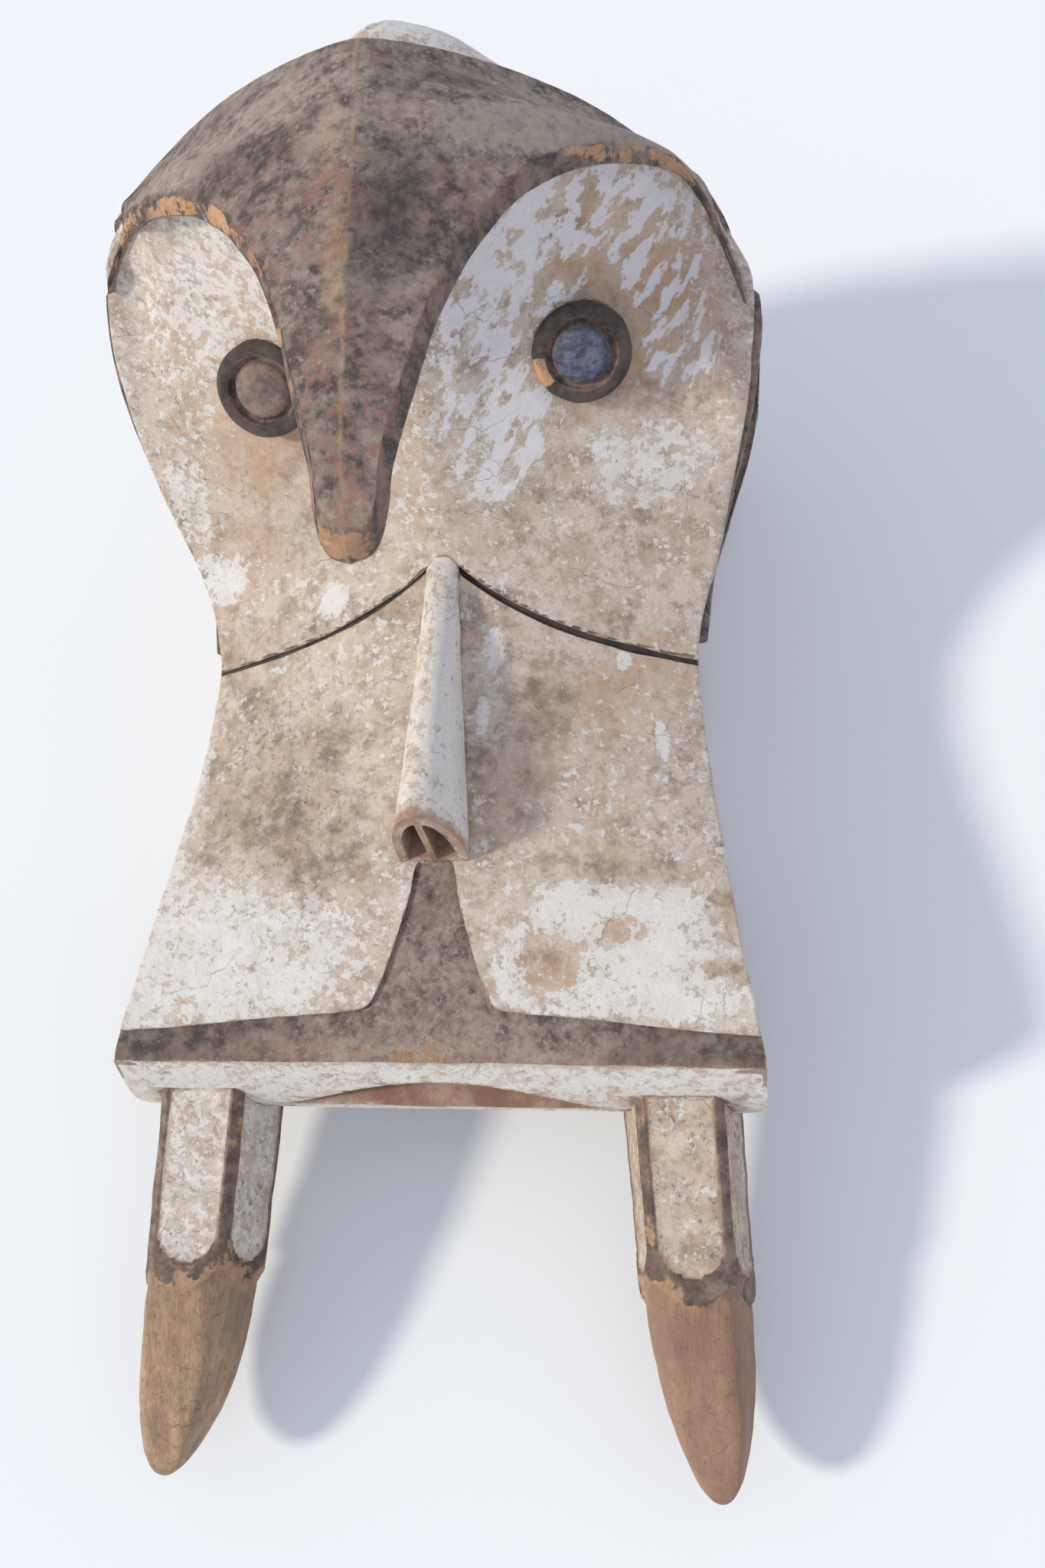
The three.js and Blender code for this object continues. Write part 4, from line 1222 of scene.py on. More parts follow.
@dataclass(frozen=True)
class Tusk:
    """Squarish arm with a recessed panel on each face, a collar with a lobed edge, and a bare tip."""

    side: int
    inward: float
    half_width: float = 22
    half_height: float = 21
    root_swell: float = 1.09
    collar_at: float = 0.62
    collar_step: float = 2.2
    collar_lobe: float = 0.045
    squareness: float = 5
    panel_from: float = 0.12
    panel_to: float = 0.585
    panel_round: float = 0.07
    panel_depth: float = 1.8
    panel_half: float = 0.76
    splay: float = 0.2
    tip_power: float = 2.1
    rings: int = 128
    points: int = 88
    seed: int = 111

    PATH = ((96, 42, -30), (99, 0, -38), (102.5, -50, -43), (105.5, -88, -47), (110, -128, -50),
            (115, -165, -50))

    def shell(self) -> Shell:
        """The tusk's surface: a superellipse along the path, cut back in the panels and past the collar.

        A point's place on its face runs from -1 to 1 between two corners; a panel is where that place is
        within a rounded end, and the sleeve ends in a lobe on each face.

        Returns:
            The shell.
        """
        share = np.linspace(0, 1, self.rings) ** 0.9
        along = (1 - (1 - share) ** 1.15)[:, None]
        path = SmoothPath(tuple((x - self.inward, u, w) for x, u, w in self.PATH))
        centre = path.at(along[:, 0])
        turn = 2 * np.pi * (np.arange(self.points) + 0.5)[None] / self.points
        cos, sin = np.cos(turn), np.sin(turn)
        square = (np.abs(cos) ** self.squareness + np.abs(sin) ** self.squareness) ** (-1 / self.squareness)
        bare = np.clip((along - self.collar_at) / (1 - self.collar_at), 0, 1)
        swell = lerp(self.root_swell, 1, np.minimum(1, along / self.collar_at))
        size = swell * np.sqrt(np.maximum(0.004, 1 - bare ** self.tip_power))
        lobe = self.collar_lobe * np.abs(np.cos(2 * turn))
        past = smoothstep(along - (self.collar_at + lobe - 0.02), -0.004, 0.005)
        on_face = np.minimum(np.abs(cos), np.abs(sin)) / np.maximum(np.abs(cos), np.abs(sin))
        end = np.clip((along - (self.panel_to - self.panel_round)) / self.panel_round, 0, 1)
        width = self.panel_half * np.sqrt(np.clip(1 - end ** 2.2, 0, 1))
        panel = smoothstep(width - on_face, -0.05, 0.05) * (along < self.panel_to)
        panel = panel * smoothstep(along, self.panel_from, self.panel_from + 0.04)
        reach = size * (square - (self.collar_step * past + self.panel_depth * panel) / self.half_width)
        half = self.half_width * (1 - self.splay * reach * sin)
        x = self.side * (centre[:, :1] + half * reach * cos)
        w = centre[:, 2:] + self.half_height * reach * sin
        points = FORM.place(x, np.broadcast_to(centre[:, 1:2], x.shape), w)
        made = Shell(points, self.finish(points, along, past, panel, turn))
        return made.hand_cut(depth=1.0, size=11, seed=self.seed + self.side)

    def finish(self, points: Array, along: Array, past: Array, panel: Array,
               turn: Array) -> dict[Layer, Array]:
        """Layers of the tusk: pale panels between dark borders, a brown collar and a bare wooden tip.

        Args:
            points: places in millimetres.
            along: share of the way from the root to the tip.
            past: 1 beyond the collar.
            panel: 1 within a panel.
            turn: angle round the tusk.

        Returns:
            The values by layer.
        """
        border = (1 - panel) * (1 - past)
        collar = smoothstep(along, self.panel_to, 0.6) * (1 - past)
        outer = smoothstep(np.cos(turn), 0.1, 0.6)
        inner_side = smoothstep(-np.cos(turn), 0.2, 0.6)
        spots = mottle(points, 9, self.seed + 5)
        near_root = smoothstep(-along, -0.2, -0.12)
        brown = border * (0.75 + 0.2 * inner_side + 0.35 * spots) + 0.5 * collar
        right = 1.0 if self.side > 0 else 0.0
        pale = 0.5 + 0.15 * spots - 0.22 * right
        return {
            Layer.CLAY: np.where(past > 0.5, -1.0, pale) - 0.6 * collar - 1.3 * border,
            Layer.SOOT: np.clip(-1 + 2.2 * border * (1 - near_root) - 0.2 * collar - 0.4 * right, -1, 1),
            Layer.WEAR: np.clip(-1.0 + 2.2 * past + 0.8 * brown * (1 - outer) + 0.1 * right * panel, -1, 1),
            Layer.RUST: np.clip(0.1 + 0.1 * brown + 0.3 * right * panel, 0, 1),
            Layer.RED: 0.35 * border * (1 - outer) + 0.9 * right * past,
            Layer.FRESH: 0.35 * border + 0.08 * past,
            Layer.BLACK: 0.25 * border * (1 - outer),
            Layer.GRIME: np.clip(0.2 + 0.35 * panel * (1 + spots) * (0.6 + 0.6 * right) + 0.35 * past, 0, 1),
            # painted shade: a lavender tint on the panels of the inner sides, between the tusks
            Layer.COOL: 0.25 * inner_side * panel + 0 * along,
        }


TUSKS = (Tusk(side=-1, inward=0), Tusk(side=1, inward=3))


@dataclass(frozen=True)
class Ear:
    """Scalloped plate with a dished middle, which hangs below the edge of the cheek and follows its wall."""

    side: int
    front_u: float = 178
    back_u: float = 304
    hang: float = 56
    fall: float = math.radians(50)
    relief_front: float = 5
    relief_back: float = 10
    scallops: int = 12
    scallop_depth: float = 0.05
    scallop_points: int = 9
    top_points: int = 36
    inset: float = 0.35
    dish: float = 4
    root: float = 12
    below_edge: float = 5
    seed: int = 131

    def shell(self) -> Shell:
        """The ear's surface: its outline, drawn in step by step while it rises, rounds over and dips.

        Returns:
            The shell.
        """
        profile = SmoothPath(((1.0, -self.root), (1.0, -7), (1.0, -2.4), (0.985, -0.6), (0.96, 0), (0.86, 0),
                              (0.74, 0), (0.68, -2.2), (0.62, -self.dish), (0.4, -self.dish - 0.6),
                              (0.03, -self.dish - 0.8)))
        scale, relief = profile.at(np.linspace(0, 1, 34)).T[..., None]
        lobes = self.scallops * self.scallop_points
        turn = np.linspace(0, np.pi, lobes + 1)[None]
        reach = scale * (1 - self.scallop_depth * (1 - np.abs(np.sin(self.scallops * turn))))
        drop = self.hang * (np.sin(turn) * reach + self.inset * (1 - scale))
        half = (self.back_u - self.front_u) / 2
        anchor = self.front_u + half * (1 + np.cos(turn) * reach)
        top = np.linspace(-1, 1, self.top_points)[None, 1:-1]
        top_anchor = self.front_u + half * (1 + scale * top)
        top_drop = self.hang * self.inset * (1 - scale) + 0 * top
        anchor, drop = np.hstack([anchor, top_anchor]), np.hstack([drop, top_drop])
        u = anchor + drop * math.cos(self.fall)
        w = FORM.edge_height(anchor) - self.below_edge - drop * math.sin(self.fall)
        level = np.minimum(w, FORM.edge_height(u) - FORM.wall_step)
        grown = lerp(self.relief_front, self.relief_back, smoothstep(anchor, self.front_u, self.back_u))
        points = FORM.place(self.side * (FORM.wall_across(u, level) + grown + relief), u, w)
        border = smoothstep(scale, 0.6, 0.72) + 0 * anchor
        layers = {
            Layer.SOOT: np.clip(-0.3 + 1.3 * border, -1, 1),
            Layer.CLAY: 0.2 - 0.5 * border,
            Layer.WEAR: -0.75 + 0.25 * smoothstep(scale, 0.93, 1.0) + 0 * anchor,
            Layer.GRIME: 0.4,
        }
        return Shell(points, layers).hand_cut(depth=0.8, size=9, seed=self.seed + self.side)


@dataclass(frozen=True)
class Cutters:
    """Spaces that are cut out of the block: the head's hollow, the mouth, the grooves and the front step."""

    wall_across: float = 13
    wall_down: float = 19
    centre_u: float = 254
    half_length: float = 104
    half_width: float = 92
    top: float = 45
    spring: float = -100
    squareness: float = 2.6
    mouth_half: float = 65
    mouth_top: float = -13
    mouth_bottom: float = -35
    mouth_depth: float = 48
    mouth_narrowing: float = 8
    groove_width: float = 3
    groove_depth: float = 2.5
    step_depth: float = 1.6
    seed: int = 151

    CHIPS = {
        Layer.WEAR: (
            Daub(-10, 4, 60, 5, 0.5), Daub(-60, 6, 50, 4, 0.35), Daub(5, 9, 12, 4, 0.6, 30),
            Daub(-14, 16, 9, 7, 0.35), Daub(0, 56, 6, 4, 0.2),
        ),
    }

    def hollow(self) -> Shell:
        """Room for the wearer's head: a squarish dome whose roof stays a wall's thickness below the face.

        Returns:
            The space as a shell.
        """
        along = np.sin(np.linspace(-0.5, 0.5, 48) * np.pi)[:, None] * 0.9999
        u = self.centre_u + self.half_length * along
        end = np.abs(along) ** self.squareness
        half = self.half_width * np.maximum(1e-4, 1 - end) ** (1 / self.squareness)
        across = -np.cos(np.linspace(0, np.pi, 60))[None]
        x = half * across
        out = np.minimum(1, end + np.abs(x / self.half_width) ** self.squareness)
        dome = lerp(self.spring, self.top, (1 - out) ** (1 / self.squareness))
        roof = np.minimum(dome, FORM.body_top(x, u - self.wall_across) - self.wall_down)
        wall = np.linspace(1, 0, 18, endpoint=False)[None]
        right_w = lerp(roof[:, -1:], FORM.body_bottom, 1 - wall)
        left_w = lerp(roof[:, :1], FORM.body_bottom, wall)
        x = np.hstack([x, half + 0 * wall, -half + 0 * wall])
        w = np.hstack([roof, right_w, left_w])
        points = FORM.place(x, u, w)
        layers = {Layer.CLAY: -1.0, Layer.WEAR: 0.9, Layer.RUST: 0.1, Layer.GRIME: 0.35}
        gouge = 1.2 * mottle(points * [1, 1, 0.45], 12, self.seed)
        return Shell(points, layers).sunk(gouge - 0.6)

    def mouth(self) -> Shell:
        """A lens between the lips, cut straight back and a little narrower inside.

        Returns:
            The space as a shell.
        """
        u = np.concatenate([[-40], np.linspace(-26, self.mouth_depth, 34)])[:, None]
        inner = np.maximum(u, 0) / self.mouth_depth
        half = self.mouth_half - self.mouth_narrowing * inner
        share = np.linspace(1, -1, 56)[None]
        roof = self.mouth_bottom + 0.6 + (self.mouth_top - self.mouth_bottom) * (1 - share ** 2) + 0 * u
        floor = np.linspace(-1, 1, 40)[None, 1:-1]
        x = np.hstack([half * share, half * floor])
        w = np.hstack([roof, self.mouth_bottom + 0 * half * floor])
        points = FORM.place(x, np.broadcast_to(u, x.shape), w)
        # painted shade: darker deeper inside the mouth
        deep = smoothstep(u, 5, self.mouth_depth) + 0 * x
        streaks = mottle(points * [1, 0.12, 1], 5, self.seed + 3)
        layers = {Layer.CLAY: -1.7, Layer.RUST: 0.45, Layer.GRIME: 0.35 + 0.4 * deep,
                  Layer.RED: np.clip(0.75 + 0.3 * streaks, 0, 1)}
        marks = 0.9 * mottle(points * [1, 0.1, 1], 6, self.seed + 1) * smoothstep(u, 2, 14)
        return Shell(points, layers).sunk(marks)

    def groove(self, side: int) -> Shell:
        """One of two sagging lines across the waist, from the top of the nose to the edge.

        Args:
            side: -1 for the left one and 1 for the right one.

        Returns:
            The space as a shell.
        """
        x = np.linspace(FORM.groove_start[0], FORM.groove_end, 80)[:, None]
        u = FORM.groove_line(x)
        w = FORM.plate_height(x, u) + FORM.ramp_height(x, u)
        turn = np.linspace(0, np.pi, 9)[None]
        line = np.stack([x, u, w], axis=-1)
        thin = 0.78 + 0.14 * side + 0.3 * mottle(line, 14, self.seed + 2 + side)
        lip = (turn == 0) | (turn == np.pi)
        off = -0.5 * self.groove_width * thin * np.cos(turn) * (1 + 0.6 * lip)
        up = np.where(lip, 3.0, -self.groove_depth * thin * np.sin(turn) ** 0.6)
        points = FORM.place(side * (x + 0 * turn), u + off, w + up)
        return Shell(points, {Layer.SOOT: 1.0, Layer.CLAY: -1.6, Layer.GRIME: 0.2, Layer.BLACK: 0.8})

    def front_step(self) -> Shell:
        """Shallow step under the dark band along the front edge and the tapering field below the nose.

        The plan is a smooth curve from the field's top along the band's edge to the corner, mirrored; the
        floor of the space lies one step under the plate.

        Returns:
            The space as a shell.
        """
        right = STEP_PLAN.at(np.linspace(0, 1, 92))
        line = np.vstack([right[:0:-1] * [-1, 1], right])
        x = line[:, :1]
        t = np.linspace(0, 1, 34)[None]
        u = lerp(-30, line[:, 1:], t)
        low = FORM.place(x, u, FORM.plate_height(x, np.maximum(u, 0)) - self.step_depth)
        high = FORM.place(x, u, FORM.plate_crown + 20)
        points = np.concatenate([low, high[:, ::-1]], axis=1)
        front = smoothstep(-u, -7, 1)
        chips = laid(self.CHIPS, Layer.WEAR, x + 0 * u, u)
        middle = smoothstep(-np.abs(x - 30), -90, -20)
        low_layers = {
            Layer.SOOT: 1.0 + 0 * u,
            Layer.WEAR: -1.0 + 0.7 * front + chips,
            Layer.CLAY: -0.35 + 0.3 * middle + 0 * u,
            Layer.GRIME: 0.2 + 0.5 * smoothstep(u, 52, 70) + 0 * x,
            Layer.RUST: np.clip(0.06 + 0.3 * front + 0.4 * chips, 0, 1),
            Layer.RED: np.clip(0.45 * front, 0, 1),
            Layer.FRESH: 0.8 * front + 0 * x,
            Layer.BLACK: 0.35 * smoothstep(np.abs(x), 50, 100) + 0 * u,
        }
        layers = {layer: np.hstack([value, value[:, ::-1]]) for layer, value in low_layers.items()}
        return Shell(points, layers)

    def ground(self) -> Shell:
        """Everything below the ground plane, so that the rim is flat.

        Returns:
            The space as a shell.
        """
        corners = np.array([[-400, -500], [400, -500], [400, 500], [-400, 500]], dtype=float)
        rings = np.stack([np.column_stack([corners, np.full(4, z)]) for z in (-300.0, 0.0)])
        return Shell(rings, {Layer.CLAY: -1.0, Layer.WEAR: 1.0, Layer.GRIME: 0.5, Layer.RUST: 0.1})


class Graph:
    """Short ways to add nodes to one node tree."""

    def __init__(self, tree: bpy.types.NodeTree) -> None:
        """Keep the tree that the nodes go into."""
        self.tree = tree

    def node(self, kind: str, inputs: dict[str | int, Any], **settings: Any) -> bpy.types.Node:
        """Add a node.

        Args:
            kind: node type without its ShaderNode prefix.
            inputs: sockets by name or number, each with a socket to link or a plain value.
            settings: properties of the node.

        Returns:
            The new node.
        """
        made = self.tree.nodes.new("ShaderNode" + kind)
        for name, value in settings.items():
            setattr(made, name, value)
        for name, value in inputs.items():
            if isinstance(value, Socket):
                self.tree.links.new(value, made.inputs[name])
            else:
                made.inputs[name].default_value = value
        return made

    def group(self, tree: bpy.types.NodeTree, inputs: dict[str | int, Any]) -> bpy.types.Node:
        """Add a node group with its inputs."""
        return self.node("Group", inputs, node_tree=tree)

    def math(self, operation: str, first: Any, second: Any, clamp: bool = False) -> Socket:
        """Result of one arithmetic step."""
        return self.node("Math", {0: first, 1: second}, operation=operation, use_clamp=clamp).outputs[0]

    def times(self, first: Any, second: Any) -> Socket:
        """First times second."""
        return self.math("MULTIPLY", first, second)

    def plus(self, first: Any, second: Any, clamp: bool = False) -> Socket:
        """First plus second."""
        return self.math("ADD", first, second, clamp)

    def minus(self, first: Any, second: Any, clamp: bool = False) -> Socket:
        """First less second."""
        return self.math("SUBTRACT", first, second, clamp)

    def scaled(self, vector: Socket, factors: Sequence[float]) -> Socket:
        """Vector with each part multiplied."""
        return self.node("VectorMath", {0: vector, 1: tuple(factors)}, operation="MULTIPLY").outputs[0]

    def step(self, value: Socket, start: Any, end: Any, low: float = 0.0, high: float = 1.0) -> Socket:
        """Smooth step of value from start to end, between low and high."""
        inputs = {"Value": value, "From Min": start, "From Max": end, "To Min": low, "To Max": high}
        return self.node("MapRange", inputs, interpolation_type="SMOOTHSTEP").outputs[0]

    def mix(self, share: Any, first: Any, second: Any) -> Socket:
        """Mix of two colours by share."""
        return self.node("Mix", {0: share, 6: first, 7: second}, data_type="RGBA").outputs[2]

    def noise(self, vector: Socket, scale: Any, detail: float = 4.0, roughness: float = 0.6) -> Socket:
        """Fractal noise about a half."""
        inputs = {"Vector": vector, "Scale": scale, "Detail": detail, "Roughness": roughness}
        return self.node("TexNoise", inputs).outputs[0]

    def layer(self, layer: Layer) -> Socket:
        """Value of one of the surface's layers."""
        named = {"attribute_type": "GEOMETRY", "attribute_name": layer.value}
        return self.node("Attribute", {}, **named).outputs["Fac"]


def open_group(name: str, inputs: dict[str, tuple[str, Any]],
               outputs: dict[str, str]) -> tuple[bpy.types.NodeTree, Graph, Any, Any]:
    """New shader node group with named sockets.

    Args:
        name: name of the group.
        inputs: socket kind and default value by name.
        outputs: socket kind by name.

    Returns:
        The tree, its graph, the group's input sockets and the sockets of its output node.
    """
    tree = bpy.data.node_groups.new(name, "ShaderNodeTree")
    for label, (kind, value) in inputs.items():
        socket = tree.interface.new_socket(name=label, in_out="INPUT", socket_type="NodeSocket" + kind)
        if value is not None:
            socket.default_value = value
    for label, kind in outputs.items():
        tree.interface.new_socket(name=label, in_out="OUTPUT", socket_type="NodeSocket" + kind)
    entry = tree.nodes.new("NodeGroupInput")
    leave = tree.nodes.new("NodeGroupOutput")
    return tree, Graph(tree), entry.outputs, leave.inputs


class Effects:
    """Shader node groups that the finishes share, each built once. Vectors are in millimetres."""

    BROAD_GAIN = 2.6
    FINE_GAIN = 3.0
    FINE_RATIO = 5.5
    FLECK_LEVEL = 0.72
    STROKE_LEVEL = 0.78
    STROKE_GRAIN = (0.05, 0.2, 0.09)
    CRACK_BEND = 14.0
    STREAK_GRAIN = (0.12, 0.012, 0.12)
    PORE_GRAIN = (1.1, 0.07, 1.1)
    STREAK_SHARE = 0.55

    def __init__(self) -> None:
        """Build the groups."""
        self.ragged = self.build_ragged()
        self.cracks = self.build_cracks()
        self.speckle = self.build_speckle()
        self.strokes = self.build_strokes()
        self.wood = self.build_wood()
        self.blend = self.build_blend()

    def build_ragged(self) -> bpy.types.NodeTree:
        """Coat with a ragged edge: broad and fine noise plus a bias, cut off in a narrow step.

        Returns:
            The node group.
        """
        tree, graph, entry, leave = open_group(
            "ragged coat",
            {"Vector": ("Vector", None), "Bias": ("Float", 0.0), "Size": ("Float", 20.0),
             "Fine": ("Float", 0.8), "Edge": ("Float", 0.12)},
            {"Mask": "Float"})
        scale = graph.math("DIVIDE", 1.0, entry["Size"])
        broad = graph.minus(graph.noise(entry["Vector"], scale, 2.0), 0.5)
        fine = graph.minus(graph.noise(entry["Vector"], graph.times(scale, self.FINE_RATIO), 6.0, 0.7), 0.5)
        fine = graph.times(fine, graph.times(entry["Fine"], self.FINE_GAIN))
        total = graph.plus(graph.plus(graph.times(broad, self.BROAD_GAIN), fine), entry["Bias"])
        mask = graph.step(total, graph.times(entry["Edge"], -1.0), entry["Edge"])
        tree.links.new(mask, leave["Mask"])
        return tree

    def build_cracks(self) -> bpy.types.NodeTree:
        """Hair cracks: the borders of uneven cells on a bent vector, kept only in some areas.

        Returns:
            The node group.
        """
        tree, graph, entry, leave = open_group(
            "hair cracks",
            {"Vector": ("Vector", None), "Size": ("Float", 18.0), "Width": ("Float", 0.02)},
            {"Mask": "Float"})
        bend = graph.node("TexNoise", {"Vector": entry["Vector"], "Scale": 0.08, "Detail": 4.0})
        offset = graph.node("VectorMath", {0: bend.outputs["Color"], 3: self.CRACK_BEND}, operation="SCALE")
        bent = graph.node("VectorMath", {0: entry["Vector"], 1: offset.outputs[0]}, operation="ADD")
        scale = graph.math("DIVIDE", 1.0, entry["Size"])
        cells = graph.node("TexVoronoi", {"Vector": bent.outputs[0], "Scale": scale, "Randomness": 1.0},
                           feature="DISTANCE_TO_EDGE").outputs["Distance"]
        line = graph.step(cells, entry["Width"], 0.0)
        gate = graph.step(graph.noise(entry["Vector"], 0.03, 3.0), 0.52, 0.64)
        tree.links.new(graph.times(line, gate), leave["Mask"])
        return tree

    def build_speckle(self) -> bpy.types.NodeTree:
        """Scattered flecks: the peaks of fine noise, more of them where the amount is high.

        Returns:
            The node group.
        """
        tree, graph, entry, leave = open_group(
            "speckle",
            {"Vector": ("Vector", None), "Size": ("Float", 3.0), "Amount": ("Float", 0.4)},
            {"Mask": "Float"})
        scale = graph.math("DIVIDE", 1.0, entry["Size"])
        level = graph.minus(self.FLECK_LEVEL, graph.times(entry["Amount"], 0.26))
        fleck = graph.minus(graph.noise(entry["Vector"], scale, 5.0, 0.62), level)
        tree.links.new(graph.step(fleck, -0.015, 0.045), leave["Mask"])
        return tree

    def build_strokes(self) -> bpy.types.NodeTree:
        """Brush strokes: noise that is stretched along one direction in plan and cut off in a narrow step.

        Returns:
            The node group.
        """
        tree, graph, entry, leave = open_group(
            "brush strokes",
            {"Vector": ("Vector", None), "Turn": ("Float", 0.0), "Amount": ("Float", 0.5)},
            {"Mask": "Float"})
        turned = graph.node("VectorRotate", {"Vector": entry["Vector"], "Angle": entry["Turn"]},
                            rotation_type="Z_AXIS").outputs[0]
        drawn = graph.noise(graph.scaled(turned, self.STROKE_GRAIN), 1.0, 5.0, 0.6)
        level = graph.minus(self.STROKE_LEVEL, graph.times(entry["Amount"], 0.3))
        tree.links.new(graph.step(graph.minus(drawn, level), -0.02, 0.03), leave["Mask"])
        return tree

    def build_wood(self) -> bpy.types.NodeTree:
        """Bare wood: streaks along the block with finer dark pores, and the streaks' height.

        Returns:
            The node group.
        """
        tree, graph, entry, leave = open_group(
            "bare wood",
            {"Vector": ("Vector", None), "Light": ("Color", None), "Dark": ("Color", None)},
            {"Color": "Color", "Height": "Float"})
        broad = graph.noise(graph.scaled(entry["Vector"], self.STREAK_GRAIN), 1.0, 5.0, 0.65)
        fine = graph.noise(graph.scaled(entry["Vector"], self.PORE_GRAIN), 1.0, 4.0, 0.7)
        both = graph.plus(graph.times(broad, self.STREAK_SHARE), graph.times(fine, 1 - self.STREAK_SHARE))
        colour = graph.mix(graph.step(both, 0.33, 0.66), entry["Dark"], entry["Light"])
        tree.links.new(colour, leave["Color"])
        tree.links.new(both, leave["Height"])
        return tree

    def build_blend(self) -> bpy.types.NodeTree:
        """Uneven colour: two colours mixed by fractal noise of one size.

        Returns:
            The node group.
        """
        tree, graph, entry, leave = open_group(
            "uneven colour",
            {"Vector": ("Vector", None), "First": ("Color", None), "Second": ("Color", None),
             "Size": ("Float", 20.0)},
            {"Color": "Color"})
        scale = graph.math("DIVIDE", 1.0, entry["Size"])
        share = graph.step(graph.noise(entry["Vector"], scale, 9.0, 0.74), 0.4, 0.6)
        tree.links.new(graph.mix(share, entry["First"], entry["Second"]), leave["Color"])
        return tree


@dataclass(frozen=True)
class Coat:
    """Blotches of a ragged coat: their size in millimetres, how frayed they are and how soft at the edge."""

    size: float
    fine: float
    edge: float


@dataclass(frozen=True)
class Patches:
    """Soft patches: fractal noise, and the two levels between which it steps from low to high."""

    scale: float
    detail: float
    roughness: float
    start: float
    end: float
    low: float = 0.0
    high: float = 1.0


@dataclass(frozen=True)
class Brush:
    """One material's graph, with the shared effects laid at the surface's place in millimetres."""

    graph: Graph
    effects: Effects
    place: Socket

    def ragged(self, coat: Coat, bias: Socket) -> Socket:
        """Mask of a ragged coat, more of it where the bias is high."""
        inputs = {"Vector": self.place, "Bias": bias, "Size": coat.size, "Fine": coat.fine, "Edge": coat.edge}
        return self.graph.group(self.effects.ragged, inputs).outputs[0]

    def speckle(self, size: float, amount: Socket) -> Socket:
        """Mask of scattered flecks."""
        inputs = {"Vector": self.place, "Size": size, "Amount": amount}
        return self.graph.group(self.effects.speckle, inputs).outputs[0]

    def blend(self, first: Colour, second: Colour, size: float) -> Socket:
        """Two colours mixed unevenly."""
        inputs = {"Vector": self.place, "First": first, "Second": second, "Size": size}
        return self.graph.group(self.effects.blend, inputs).outputs[0]

    def patches(self, kind: Patches) -> Socket:
        """Value of soft patches."""
        noise = self.graph.noise(self.place, kind.scale, kind.detail, kind.roughness)
        return self.graph.step(noise, kind.start, kind.end, kind.low, kind.high)


